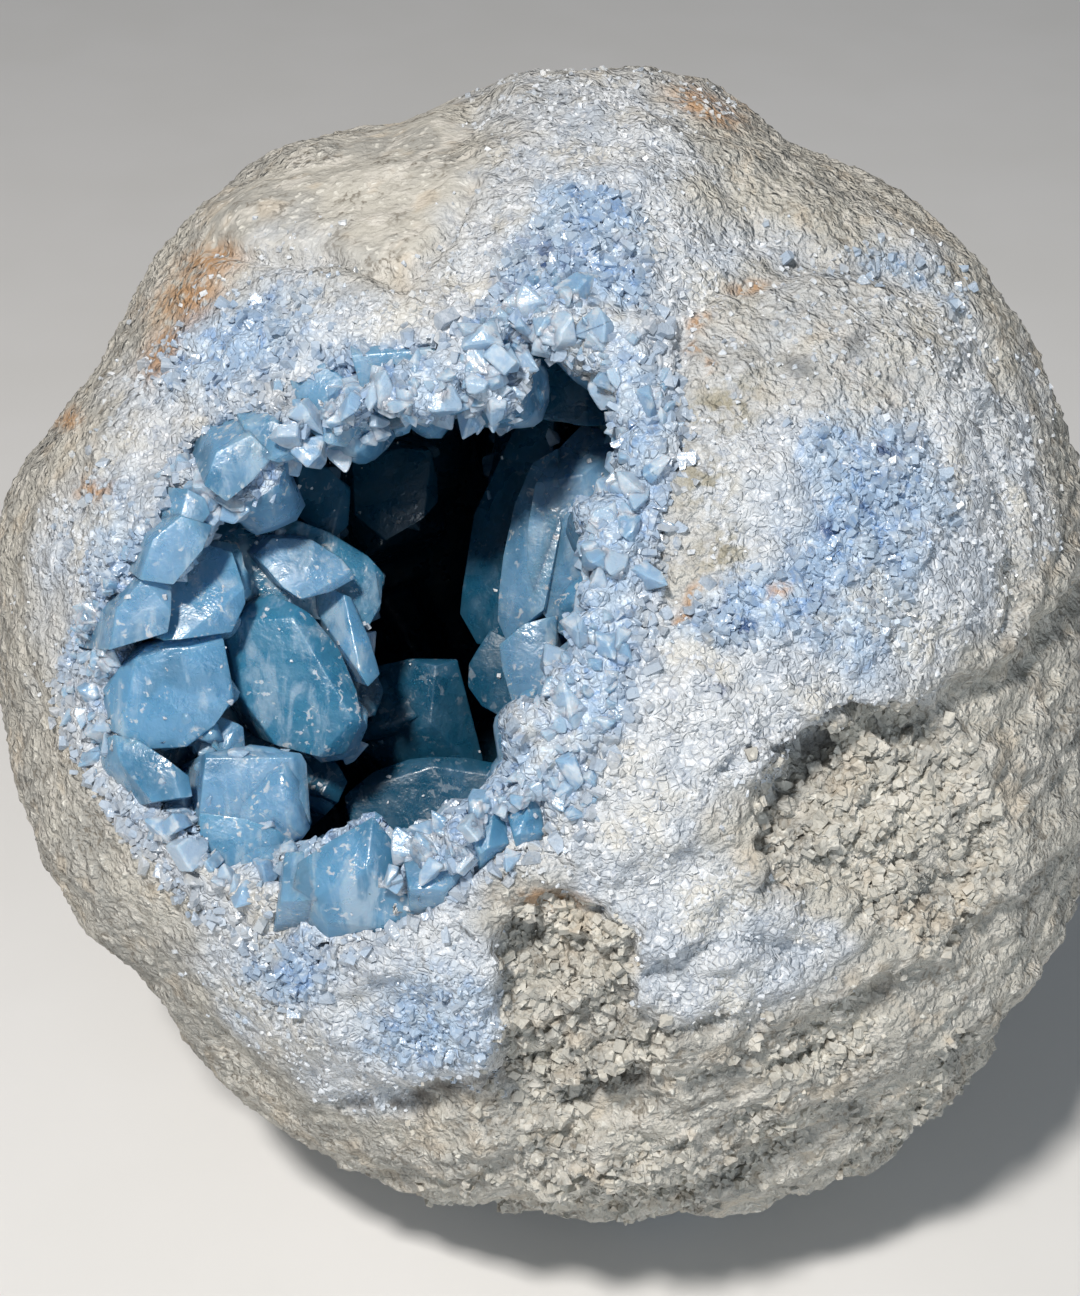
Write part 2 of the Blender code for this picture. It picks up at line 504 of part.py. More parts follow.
def named_crystals(pose):
    """The crystals that show through the mouth, and those that they grow from."""
    shown = [shown_crystal(name, pose, *shape) for name, shape in CRYSTALS.items()]
    roots = [
        crystal(name, pose, Vector(place) * MM, [side * MM for side in size],
                grows, roll, form)
        for name, (place, size, grows, roll, form) in ROOT_CRYSTALS.items()
    ]
    return shown + roots


def mouth_edge(turns):
    """A point of the mouth's edge on the rock's surface; turns runs from 0 to 1."""
    right = smooth_ring([point[0] for point in MOUTH], turns) * MM
    up = smooth_ring([point[1] for point in MOUTH], turns) * MM
    out = math.sqrt((FRONT_REACH * MM) ** 2 - right ** 2 - up ** 2)
    direction = Vector((right, up, out)).normalized()
    return direction * rock_reach(direction)


def rim_crystals(pose):
    """Small crystals along the mouth's edge that break up its line."""
    chance = random.Random(11)
    made = []
    for k in range(RIM_CRYSTALS):
        turns = (k + chance.uniform(-0.3, 0.3)) / RIM_CRYSTALS
        edge = mouth_edge(turns)
        inwards = Vector((*MOUTH_MIDDLE, edge.z)) - edge
        inwards.normalize()
        width = chance.uniform(*RIM_CRYSTAL_WIDTH)
        depth = width * chance.uniform(*SMALL_CRYSTAL_DEPTH)
        size = (width, depth, width * RIM_CRYSTAL_LENGTH)
        outwards = edge.normalized() + inwards * chance.uniform(*RIM_CRYSTAL_TILT)
        outwards += any_way(chance, RIM_CRYSTAL_LEAN)
        tip_place = edge + inwards * RIM_CRYSTAL_OVERHANG
        form = chance.choice(("block", "chisel", "point"))
        roll = chance.uniform(0, 180)
        if RIM_BARE[0] < turns < RIM_BARE[1]:
            continue
        made.append(crystal(f"rim_{k}", pose, tip_place, size, outwards, roll, form))
    return made


def wall_crystals(pose):
    """Crystals spread over the rest of the hollow's wall, growing towards its middle."""
    chance = random.Random(4)
    golden = math.pi * (3 - math.sqrt(5))
    made = []
    for k in range(WALL_CRYSTALS):
        out = 1 - 2 * (k + 0.5) / WALL_CRYSTALS
        ring = math.sqrt(1 - out ** 2)
        direction = Vector((ring * math.cos(k * golden), ring * math.sin(k * golden), out))
        width = chance.uniform(*WALL_CRYSTAL_WIDTH)
        depth = width * chance.uniform(*SMALL_CRYSTAL_DEPTH)
        length = chance.uniform(*WALL_CRYSTAL_LENGTH)
        lean = any_way(chance, WALL_CRYSTAL_LEAN)
        roll = chance.uniform(0, 180)
        form = chance.choice(("block", "chisel", "chisel"))
        wall = HOLLOW_CENTRE + Vector(a * b for a, b in zip(direction, HOLLOW_SIZE))
        shown = out > SHOWN_FROM[0] and direction.x < SHOWN_FROM[1]
        if out > CLEAR_CONE or shown:
            continue
        made.append(crystal(f"wall_{k}", pose, wall - direction * length * WALL_CRYSTAL_DEPTH,
                            (width, depth, length), lean - direction, roll, form))
    return made


def keep_one_body(thing):
    """Drops sealed pockets and loose chips, so that one closed body is left."""
    bm = bmesh.new()
    bm.from_mesh(thing.data)
    bmesh.ops.remove_doubles(bm, verts=bm.verts[:], dist=MERGE_DISTANCE)
    waiting = set(bm.faces)
    bodies = []
    while waiting:
        body = [waiting.pop()]
        for face in body:
            for edge in face.edges:
                for near in edge.link_faces:
                    if near in waiting:
                        waiting.remove(near)
                        body.append(near)
        bodies.append(body)
    largest = max(bodies, key=len)
    spare = [face for body in bodies if body is not largest for face in body]
    bmesh.ops.delete(bm, geom=spare, context="FACES")
    loose = [vert for vert in bm.verts if not vert.link_faces]
    bmesh.ops.delete(bm, geom=loose, context="VERTS")
    bmesh.ops.dissolve_limit(bm, angle_limit=FLAT_ANGLE, verts=bm.verts[:],
                             edges=bm.edges[:])
    bmesh.ops.triangulate(bm, faces=bm.faces[:])
    bm.to_mesh(thing.data)
    bm.free()


def rock_shell(pose):
    """The rock with its hollow and the mouth cut through to it."""
    shell = rock_ball("rock_shell", pose)
    combine(shell, "DIFFERENCE", hollow_blob("hollow_cut", pose),
            mouth_prism("mouth_cut", pose, RIM_BAND))
    keep_one_body(shell)
    shell.data.materials.append(material("rock", COLOURS["rock"], 0.9))
    return shell


def crystal_crust(pose):
    """The lining of the hollow and all its crystals, grown together as one solid."""
    room = hollow_blob("room", pose, SEAT_GAP)
    combine(room, "UNION", mouth_prism("room_mouth", pose, RIM_BAND - SEAT_GAP))
    crust = add_object("crystal_crust", room.data.copy(), pose)
    combine(crust, "DIFFERENCE", hollow_blob("lining_cut", pose, LINING, LINING_JAGS),
            mouth_prism("lining_mouth", pose, 0))
    combine(crust, "INTERSECT", rock_ball("outer_limit", pose, RIM_STEP))
    combine(crust, "UNION", *named_crystals(pose), *rim_crystals(pose),
            *wall_crystals(pose))
    combine(crust, "INTERSECT", room)
    keep_one_body(crust)
    crust.data.materials.append(material("celestite", COLOURS["celestite"], 0.12))
    return crust


def main():
    clear_scene()
    pose = face_pose()
    rock_shell(pose)
    crystal_crust(pose)


main()
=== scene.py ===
import itertools
import json
import math
import random

import bpy
import numpy as np
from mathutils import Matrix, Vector, kdtree
from mathutils.bvhtree import BVHTree

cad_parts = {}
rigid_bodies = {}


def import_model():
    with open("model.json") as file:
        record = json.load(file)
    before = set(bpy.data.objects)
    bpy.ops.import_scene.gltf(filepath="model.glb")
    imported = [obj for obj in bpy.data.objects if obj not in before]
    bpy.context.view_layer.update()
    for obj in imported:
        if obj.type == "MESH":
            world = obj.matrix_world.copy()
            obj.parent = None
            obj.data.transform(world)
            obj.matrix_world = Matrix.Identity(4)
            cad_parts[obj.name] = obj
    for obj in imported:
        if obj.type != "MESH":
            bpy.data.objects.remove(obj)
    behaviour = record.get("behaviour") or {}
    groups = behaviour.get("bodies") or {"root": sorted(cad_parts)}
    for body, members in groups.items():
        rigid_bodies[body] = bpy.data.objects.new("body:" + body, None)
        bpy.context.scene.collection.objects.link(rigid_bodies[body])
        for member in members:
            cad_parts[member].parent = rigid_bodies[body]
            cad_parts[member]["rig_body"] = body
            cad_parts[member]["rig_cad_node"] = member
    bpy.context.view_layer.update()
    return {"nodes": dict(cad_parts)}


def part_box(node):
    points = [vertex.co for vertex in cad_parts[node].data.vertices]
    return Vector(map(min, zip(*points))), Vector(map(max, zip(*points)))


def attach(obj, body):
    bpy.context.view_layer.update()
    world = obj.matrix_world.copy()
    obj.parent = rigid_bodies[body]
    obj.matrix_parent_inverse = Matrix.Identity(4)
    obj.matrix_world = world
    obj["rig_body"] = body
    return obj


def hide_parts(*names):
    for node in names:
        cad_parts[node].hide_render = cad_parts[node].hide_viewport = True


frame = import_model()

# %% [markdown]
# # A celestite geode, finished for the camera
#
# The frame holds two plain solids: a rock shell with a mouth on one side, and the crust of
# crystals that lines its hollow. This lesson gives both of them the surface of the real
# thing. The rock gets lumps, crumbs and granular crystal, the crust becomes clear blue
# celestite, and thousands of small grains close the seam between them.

MM = 0.001
LOW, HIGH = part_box("rock_shell")
print("rock reaches", [round(side / MM) for side in HIGH - LOW], "mm")

# %% [markdown]
# ## Where the face looks
#
# The geode rests tilted, so its mouth looks up at an angle. It is easier to place things on
# it as someone does who holds it in front of them: so far right, so far up. The next cell
# sets the three directions of that face, and the point in the middle of the rock that they
# are measured from.

# %% The face of the geode
FACE_ELEVATION = math.radians(35)
MIDDLE = Vector((0, 0, 88 * MM))
RIGHT = Vector((1, 0, 0))
UP = Vector((0, math.sin(FACE_ELEVATION), math.cos(FACE_ELEVATION)))
OUT = Vector((0, -math.cos(FACE_ELEVATION), math.sin(FACE_ELEVATION)))
FACE_AXES = np.array([RIGHT, UP, OUT])
FACE_TURN = (math.pi / 2 - FACE_ELEVATION, 0, 0)
EYE_DISTANCE = 420 * MM


def on_face(points):
    """Right, up and out of each point, in millimetres from the rock's middle."""
    return (points - np.array(MIDDLE)) @ FACE_AXES.T / MM


def as_seen(places):
    """Right and up where the eye sees each place, on the plane through the middle."""
    distance = EYE_DISTANCE / MM
    return places[:, :2] * (distance / (distance - places[:, 2:3]))


# %% [markdown]
# ## The eye and the light
#
# The camera comes first, because every later choice is judged through it. It stands level
# with the face's own direction, a little over 40 cm away, as a hand-held camera does. One
# bright soft light from above makes the crystals glint and lets each ledge throw a
# small shadow. A broad weak one from below reaches the ceiling of the hollow, and a weak even
# light fills the rest.

# %% Camera
LONG_SIDE_MM = 36.0
LENS_MM = 68.36
EYE_SHIFT = (-1.37 * MM, -0.51 * MM)

camera_data = bpy.data.cameras.new("eye")
camera_data.sensor_width = LONG_SIDE_MM
camera_data.lens = LENS_MM
camera_data.clip_start = 0.01
eye = bpy.data.objects.new("eye", camera_data)
bpy.context.scene.collection.objects.link(eye)
eye.location = MIDDLE + OUT * EYE_DISTANCE + RIGHT * EYE_SHIFT[0] + UP * EYE_SHIFT[1]
eye.rotation_euler = FACE_TURN
bpy.context.scene.camera = eye

# %% Light
KEY_FROM = -RIGHT * 0.24 + UP * 0.44 + OUT
FILL_FROM = RIGHT * 0.40 - UP * 0.42 + OUT
LAMP_DISTANCE = 1.1
KEY_SIZE, KEY_WATTS, KEY_COLOUR = 0.10, 13.5, (1.0, 0.965, 0.92)
FILL_SIZE, FILL_WATTS, FILL_COLOUR = 0.70, 4.0, (0.80, 0.91, 1.0)
SKY_COLOUR = (0.80, 0.89, 1.0, 1)
SKY_STRENGTH = 0.15


def lamp(name, towards, size, watts, colour):
    """A square lamp that shines at the middle of the rock."""
    data = bpy.data.lights.new(name, "AREA")
    data.size, data.energy, data.color = size, watts, colour
    made = bpy.data.objects.new(name, data)
    bpy.context.scene.collection.objects.link(made)
    direction = towards.normalized()
    made.location = MIDDLE + direction * LAMP_DISTANCE
    made.rotation_euler = direction.to_track_quat("Z", "Y").to_euler()


lamp("key", KEY_FROM, KEY_SIZE, KEY_WATTS, KEY_COLOUR)
lamp("fill", FILL_FROM, FILL_SIZE, FILL_WATTS, FILL_COLOUR)
sky = bpy.data.worlds.new("studio")
sky.use_nodes = True
sky.node_tree.nodes["Background"].inputs["Color"].default_value = SKY_COLOUR
sky.node_tree.nodes["Background"].inputs["Strength"].default_value = SKY_STRENGTH
bpy.context.scene.world = sky
bpy.context.scene.view_settings.view_transform = "Standard"

# %% [markdown]
# ## Small helpers for modelling
#
# Operators act on whatever is selected, so each helper first makes one object the only
# selected one. Modifiers are added and applied at once, which leaves a plain mesh behind.

# %% Selecting and applying


def pick(*things):
    """Makes these objects the only selected ones, and the first one active."""
    bpy.ops.object.select_all(action="DESELECT")
    for thing in things:
        thing.select_set(True)
    bpy.context.view_layer.objects.active = things[0]


def apply(thing, kind, **settings):
    """Adds one modifier to an object, sets it and applies it."""
    pick(thing)
    modifier = thing.modifiers.new(kind.lower(), kind)
    for name, value in settings.items():
        setattr(modifier, name, value)
    bpy.ops.object.modifier_apply(modifier=modifier.name)


def joined(things, name):
    """Several objects as one."""
    pick(*things)
    bpy.ops.object.join()
    things[0].name = things[0].data.name = name
    return things[0]


# %% Editing a mesh


def open_mesh(action="SELECT"):
    """Starts editing the active object's mesh, with all of it or nothing selected."""
    bpy.ops.object.mode_set(mode="EDIT")
    bpy.ops.mesh.select_all(action=action)


def close_mesh():
    """Ends the editing."""
    bpy.ops.object.mode_set(mode="OBJECT")


def cut(place, facing):
    """Cuts away what lies in front of a plane, and closes the cut."""
    bpy.ops.mesh.select_all(action="SELECT")
    bpy.ops.mesh.bisect(plane_co=place, plane_no=facing, use_fill=True, clear_outer=True)


def to_triangles():
    """Splits every face into triangles."""
    bpy.ops.mesh.select_all(action="SELECT")
    bpy.ops.mesh.quads_convert_to_tris()


def new_block(name, size, location=(0, 0, 0), rotation=(0, 0, 0)):
    """A cube with its place and turn applied, opened for editing."""
    bpy.ops.object.select_all(action="DESELECT")
    bpy.ops.mesh.primitive_cube_add(size=size, location=location, rotation=rotation)
    made = bpy.context.object
    made.name = made.data.name = name
    bpy.ops.object.transform_apply()
    open_mesh()
    return made


# %% Copying a node, and measuring
DOUBLES_WITHIN = 0.01 * MM


def copy_of_node(node, name):
    """A copy of a CAD node with its triangles joined up, free to be shaped."""
    pick(frame["nodes"][node])
    bpy.ops.object.duplicate()
    copied = bpy.context.object
    copied.name = copied.data.name = name
    copied.parent = None
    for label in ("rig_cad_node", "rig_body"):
        del copied[label]
    copied.data.materials.clear()
    open_mesh()
    bpy.ops.mesh.remove_doubles(threshold=DOUBLES_WITHIN)
    bpy.ops.mesh.customdata_custom_splitnormals_clear()
    close_mesh()
    return copied


def faces_of(thing):
    """How many triangles an object's mesh makes."""
    return sum(len(face.vertices) - 2 for face in thing.data.polygons)


def points_of(thing):
    """The places of a mesh's points, one row each."""
    flat = np.empty(len(thing.data.vertices) * 3, np.float32)
    thing.data.vertices.foreach_get("co", flat)
    return flat.reshape(-1, 3).astype(float)


def corners_of(thing):
    """The three points of each triangle, by number."""
    return np.array([face.vertices[:3] for face in thing.data.polygons])


# %% [markdown]
# ## Painting with numbers
#
# A brush would paint vertex groups and attributes by hand. Here outlines drawn on the face
# do it: each one says where a kind of stone begins, and noise frays its edge so that it
# looks grown. The same values later steer both the relief and the colours.

# %% Noise
HASH_STEPS = (73856093, 19349663, 83492791)
HASH_MIX = 2654435761
HASH_TOP = 0xFFFF
SEED_SHIFT = 17.13


def soft_noise(points, size, seed=0):
    """Smooth random values from -1 to 1, with lumps about this size across."""
    place = points / size + SEED_SHIFT * (seed + 1)
    cell = np.floor(place).astype(np.int64)
    part = place - cell
    part = part * part * (3 - 2 * part)
    total = np.zeros(len(points))
    for corner in itertools.product((0, 1), repeat=3):
        spot = (cell + corner) * HASH_STEPS
        mixed = spot[:, 0] ^ spot[:, 1] ^ spot[:, 2]
        value = ((mixed * HASH_MIX) >> 13 & HASH_TOP) / (HASH_TOP / 2) - 1
        weight = np.prod(np.where(corner, part, 1 - part), axis=1)
        total += weight * value
    return total


def ramp(values, start, end):
    """0 up to start, 1 from end on, and smooth between them."""
    share = np.clip((values - start) / (end - start), 0, 1)
    return share * share * (3 - 2 * share)


# %% Distances to lines and outlines


def from_stretch(seen, start, end):
    """How far each point lies from one straight stretch, in mm."""
    along = end - start
    share = np.clip((seen - start) @ along / (along @ along), 0, 1)
    offset = seen - start - share[:, None] * along
    return np.hypot(offset[:, 0], offset[:, 1])


def near_line(seen, line):
    """How far each point lies from an open line, in mm."""
    corners = np.array(line, float)
    return np.min([from_stretch(seen, *ends) for ends in zip(corners[:-1], corners[1:])], axis=0)


def depth_inside(seen, outline):
    """How far inside an outline each point lies, in mm; outside it is negative."""
    corners = np.array(outline, float)
    nearest = near_line(seen, outline + outline[:1])
    within = np.zeros(len(seen), bool)
    for start, end in zip(corners, np.roll(corners, -1, axis=0)):
        if start[1] != end[1]:
            crossing = (seen[:, 1] < start[1]) != (seen[:, 1] < end[1])
            along = end - start
            within ^= crossing & (seen[:, 0] < start[0] + (seen[:, 1] - start[1]) * along[0] / along[1])
    return np.where(within, nearest, -nearest)


def spots(seen, ovals):
    """1 in the middle of each oval (right, up, half length, half width, turn)."""
    total = np.zeros(len(seen))
    for right, up, length, width, turn in ovals:
        angle = math.radians(turn)
        x, y = seen[:, 0] - right, seen[:, 1] - up
        along = (x * math.cos(angle) + y * math.sin(angle)) / length
        across = (y * math.cos(angle) - x * math.sin(angle)) / width
        total = np.maximum(total, np.exp(-(along ** 2 + across ** 2) ** 1.5))
    return total


# %% [markdown]
# ## The map of the face
#
# White and blue granular crystal fills a broad ring round the mouth and the whole right
# side. Dull marl shows above and to the left, in a recess below the mouth and down the lower
# right, where it breaks into crumbs. The numbers are millimetres right and up of the
# middle, as the eye sees them.

# %% Outlines on the face
CRYSTALLINE = [
    (-10, 91), (-12, 78), (-25, 61), (-37, 65), (-49, 67), (-59, 61), (-68, 51), (-76, 38),
    (-83, 25), (-87, 15), (-83, 1), (-79, -13), (-73, -26), (-66, -37), (-61, -49),
    (-54, -59), (-47, -68), (-37, -77), (-25, -78), (-8, -75), (-7, -62), (-9, -42),
    (2, -41), (9, -49), (12, -61), (23, -67), (36, -62), (52, -52), (52, -44), (36, -40),
    (29, -32), (38, -20), (52, -9), (65, -8), (77, 1), (84, 18), (82, 37), (74, 54),
    (65, 66), (46, 69), (29, 71), (24, 81), (26, 93), (9, 97), (-1, 96),
]
DULL_BOULDER = [
    (32, 61), (43, 65), (60, 63), (69, 54), (68, 42), (53, 39), (40, 40), (26, 37), (24, 25),
    (29, 15), (23, 8), (16, 15), (20, 28), (21, 42), (24, 54),
]
BLUE_SIDE = [
    (43, 37), (57, 38), (65, 33), (63, 15), (60, 1), (50, -1), (40, 1), (24, -3), (19, 1),
    (29, 8), (40, 15), (41, 25),
]
BROW = [(-8, 69), (-1, 76), (9, 77), (17, 71), (16, 59), (9, 51), (2, 54), (-6, 54),
        (-12, 45), (-13, 54)]
MOUTH = [
    (-10, 40), (-6, 54), (2, 55), (11, 51), (16, 35), (9, 8), (0, -21), (-13, -32),
    (-24, -38), (-42, -38), (-54, -32), (-73, -16), (-75, 1), (-61, 18), (-57, 28),
    (-47, 35), (-34, 37), (-22, 42),
]
CRUMBLY = [(39, -20), (52, -10), (65, -13), (72, -23), (76, -37), (66, -50), (53, -46),
           (40, -42), (34, -35), (34, -27)]
RECESS = [(-8, -44), (2, -42), (15, -50), (14, -62), (23, -69), (9, -76), (-8, -75)]
LOBE = [(15, -50), (26, -44), (43, -44), (52, -46), (50, -52), (36, -61), (24, -66),
        (16, -62)]
TOP_PATCH = [(-58, 76), (-42, 84), (-17, 93), (-12, 78), (-25, 62), (-37, 67), (-49, 69),
             (-59, 66)]
BLUE_SPOTS = [(-18, -63, 11, 8, 0), (-43, -55, 7, 6, 30), (79, -51, 6, 8, 60),
              (69, -65, 8, 4, 40), (5, -12, 7, 16, -35), (-70, 8, 7, 20, 15),
              (-52, 52, 14, 7, 25), (-30, 48, 12, 6, 0), (60, 66, 18, 3, -20)]
LONG_CRACK = [(-36, -78), (-24, -77), (-9, -74), (6, -70), (20, -68), (30, -64)]
GROOVES = [
    [(21, 57), (30, 61), (43, 65.5), (55, 64), (63, 61), (74, 54), (79, 42)],
    [(71, 48), (75.5, 34), (78.5, 23), (80, 11), (79, 3)],
    [(24, 56), (22, 45), (20, 32), (16, 22), (20, 12)],
    [(-57, 68), (-45, 66), (-36, 66), (-26, 61), (-18, 70), (-13, 80)],
    [(10, -62), (20, -55), (34, -51), (46, -53), (54, -46)],
    [(30, -22), (38, -14), (52, -13), (66, -16)],
]
MARKS = {
    "stain": [(-58, 65, 6, 3, 15), (-62, 59, 7, 4, 35), (-66, 50, 5, 3, 60),
        (-82, 38, 2, 2, 0), (-78, 26, 3, 2, 0), (-68, -25, 1.2, 1.2, 0),
        (25, 9, 3.5, 1.0, 60), (23, 5, 3, 0.8, 40), (25, 55, 2.5, 1.2, 30),
        (25, 51, 1.4, 1, 0), (28, 48, 1, 1, 0), (35, 62, 4, 1.2, 15),
        (27, 92, 7, 3, -20), (0, -44, 7, 1.8, 5), (40, 10, 1.6, 1.2, 0)],
    "olive": [(30, 41, 7, 5, 30), (26, 28, 5, 6, 60), (30, 16, 5, 4, 0)],
    "grey": [(42, 47, 4.5, 1.8, -10), (53, 52, 3, 2, 50), (44, -17, 6, 2.2, 10)],
    "glassy": [(54, 24, 3, 2, 30), (47, 19, 2.5, 1.6, 0), (47, 8, 2.5, 1.6, -30),
        (33, 3, 3, 2, 20), (58, 33, 4, 2, 0), (-1, 63, 8, 7, 20), (28, -8, 2, 1, 0)],
    "pit": [(44, -17, 5, 2, 10), (13, -74, 6, 2, -5), (-20, -78, 7, 1.5, 5), (56, -60, 4, 2, 25)],
}

# %% [markdown]
# The map is one function, because two pieces and all the grains ask it the same question:
# what is the stone like at this point? Points on the far side of the rock, which the eye
# can't see, get broad patches of the same kinds of stone from noise alone.

# %% Reading the map


def stone_map(points):
    """What the stone is like at each point: a dictionary of values from 0 to 1."""
    places = on_face(points)
    seen = as_seen(places)
    front = ramp(places[:, 2], -14, 8)
    fray = 4.0 * soft_noise(places, 11, 1) + 2.2 * soft_noise(places, 4.5, 2)
    fine = soft_noise(places, 2.2, 3)
    patches = soft_noise(places, 38, 4) + 0.5 * soft_noise(places, 17, 5)
    patches += 0.25 * soft_noise(places, 6, 6)

    def inside(outline, fraying, start, end):
        return ramp(depth_inside(seen, outline) + fraying * fray, start, end)

    recess = inside(RECESS, 0.5, -1, 2)
    crystal = inside(CRYSTALLINE, 1.4, -5, 6) * (1 - recess)
    crystal = np.maximum(crystal, inside(LOBE, 0.4, -1, 2))
    dull = inside(DULL_BOULDER, 1, -3, 3) * (0.65 + 0.35 * fine)
    crystal = front * crystal * (1 - 0.85 * dull) + (1 - front) * ramp(patches, 0.25, 0.5)
    rim = -depth_inside(seen, MOUTH)
    blue = np.maximum(inside(BLUE_SIDE, 1.3, -4, 5), inside(BROW, 1, -2, 3))
    blue = np.maximum(blue, 0.9 * ramp(9 + fray - rim, 0, 7))
    blue = np.maximum(blue, spots(seen + fray[:, None], BLUE_SPOTS))
    lower = ramp(-seen[:, 1] - 0.2 * seen[:, 0], 48, 62) * ramp(seen[:, 0], -30, -10)
    crumbs = np.maximum(inside(CRUMBLY, 1, -2, 3), recess)
    crumbs = np.maximum(crumbs, 0.8 * lower * ramp(fray, -2, 3))
    frayed = seen + 0.35 * fray[:, None]
    grooves = np.min([near_line(frayed, line) for line in GROOVES], axis=0)
    found = {name: front * spots(frayed, ovals) for name, ovals in MARKS.items()}
    found.update({
        "crystalline": crystal,
        "blue": front * blue + (1 - front) * 0.5 * ramp(patches, 0.6, 0.9),
        "crumbly": front * crumbs * (1 - crystal),
        "smooth": front * inside(TOP_PATCH, 1, -3, 2),
        "groove": front * ramp(2.4 - grooves, 0, 2.4),
        "crack": front * ramp(1.6 - near_line(frayed, LONG_CRACK), 0, 1.6),
        "rim": front * ramp(7 - np.abs(rim + 0.3 * fray), 0, 5),
    })
    return found


# %% Storing values
PAINT_LEVELS = 40


def write_values(thing, values):
    """Stores each named row of values on the mesh's points."""
    for name, row in values.items():
        layer = thing.data.attributes.get(name)
        if layer is None:
            layer = thing.data.attributes.new(name, "FLOAT", "POINT")
        layer.data.foreach_set("value", row.astype(np.float32))


def paint_group(thing, weights):
    """The vertex group "where", painted in even steps of weight."""
    old = thing.vertex_groups.get("where")
    if old:
        thing.vertex_groups.remove(old)
    group = thing.vertex_groups.new(name="where")
    rounded = np.rint(np.clip(weights, 0, 1) * PAINT_LEVELS).astype(int)
    for level in range(1, PAINT_LEVELS + 1):
        here = np.flatnonzero(rounded == level)
        group.add(here.tolist(), level / PAINT_LEVELS, "REPLACE")
    return group.name


# %% [markdown]
# ## The rock, remeshed
#
# The CAD shell has broad flat facets. A voxel remesh lays an even net of small faces over
# them, and smoothing rounds off the facets, so that finer relief has something to push.
# The net is fine enough that the smallest lumps are real shape and not only shading.

# %% Remesh the rock
ROCK_VOXEL = 0.8 * MM
rock = copy_of_node("rock_shell", "geode_rock")
apply(rock, "REMESH", mode="VOXEL", voxel_size=ROCK_VOXEL)
apply(rock, "SMOOTH", factor=0.5, iterations=8)
print("rock net:", faces_of(rock), "triangles")

# %% [markdown]
# ## Relief of the rock
#
# Each kind of stone breaks in its own way. Granular crystal is a crowd of small flat
# cells, the marl crumbles like stale bread, and thin beds run across the lower right,
# rising to the right. A Displace modifier pushes the surface along its own direction by a
# procedural texture, and the painted group decides where it may act. A middle above the
# texture's own range sinks the surface instead, as in the grooves, the pits and the crack.

# %% Displacement helper
SUNK = 1.2


def push(thing, name, height, weights, kind="CLOUDS", size=30, middle=0.5, guide=None, **settings):
    """Moves the surface by a texture, where the weights allow it; height and size in mm."""
    texture = bpy.data.textures.new(name, kind)
    texture.noise_scale = size * MM
    for key, value in settings.items():
        setattr(texture, key, value)
    apply(thing, "DISPLACE", texture=texture, strength=height * MM, mid_level=middle,
          vertex_group=paint_group(thing, weights),
          texture_coords="OBJECT" if guide else "LOCAL", texture_coords_object=guide)


# %% Push the relief
stone = stone_map(points_of(rock))
free = ramp(points_of(rock)[:, 2], 0.5 * MM, 5 * MM)
dull = free * (1 - stone["crystalline"]) * (1 - 0.75 * stone["smooth"])
push(rock, "broad_dents", 2.6, free * 0.8, size=11, noise_depth=2)
push(rock, "grown_lumps", 2.4, free * stone["crystalline"], size=4.5, noise_depth=1)
push(rock, "grooves", 2.4, free * stone["groove"], middle=SUNK)
push(rock, "pits", 5.0, free * stone["pit"], middle=SUNK)
push(rock, "layer_step", 2.0, free * stone["crumbly"], middle=SUNK)
push(rock, "crumbs", -2.6, free * stone["crumbly"], "VORONOI", 3.0, 0.35, noise_intensity=1.4)
push(rock, "small_crumbs", -1.2, dull * (0.45 + 0.55 * stone["crumbly"]), "VORONOI", 1.6, 0.35,
     noise_intensity=1.3)
push(rock, "crystal_cells", 1.0, free * stone["crystalline"] * (0.5 + 0.5 * stone["blue"]),
     "VORONOI", 3.4, 0.3, distance_metric="DISTANCE_SQUARED", weight_1=-1.0, weight_2=1.0,
     noise_intensity=1.6)
push(rock, "fine_grit", 0.9, free * (1 - 0.5 * stone["smooth"]), size=1.6, noise_depth=2)
print("rock relief pushed")

# %% [markdown]
# The beds are stretched lumps. An empty that is turned and stretched guides the texture:
# the modifier reads the lumps in the empty's own directions.

# %% Beds and the long crack
BED_TURN = math.radians(26)
BED_STRETCH = (16, 3.2, 5)
bpy.ops.object.empty_add(location=MIDDLE, rotation=FACE_TURN)
bed_guide = bpy.context.object
bed_guide.rotation_euler.rotate_axis("Z", BED_TURN)
bed_guide.scale = BED_STRETCH
places = on_face(points_of(rock))
bedded = ramp(places[:, 0] - places[:, 1], 20, 70) * (1 - 0.8 * stone["crystalline"])
push(rock, "beds", 3.4, free * bedded, size=1.0, guide=bed_guide, noise_depth=1)
bpy.data.objects.remove(bed_guide)
push(rock, "crack", 2.5, stone["crack"], middle=SUNK)
print("beds and crack done")

# %% [markdown]
# ## Fewer faces where no one looks closely
#
# The wall behind the crystals is hidden and the far side is seen only from further away, so
# their net is thinned first. What is left is shared out over the face. The underside is
# cut flat again, so that the rock still stands on its own small flat.

# %% Thin the net
HIDDEN_SHARE = 0.06
FAR_SHARE = 0.42
FAR_BEHIND = -4
ROCK_TRIANGLES = 186000
HOLLOW_REACH = 70
REST_HEIGHT = 0.05 * MM


def thin(thing, chosen, share):
    """Collapses edges among the chosen points until this share of their faces is left."""
    pick(thing)
    open_mesh("DESELECT")
    bpy.ops.mesh.select_mode(type="VERT")
    close_mesh()
    thing.data.vertices.foreach_set("select", chosen)
    bpy.ops.object.mode_set(mode="EDIT")
    bpy.ops.mesh.decimate(ratio=share)
    close_mesh()


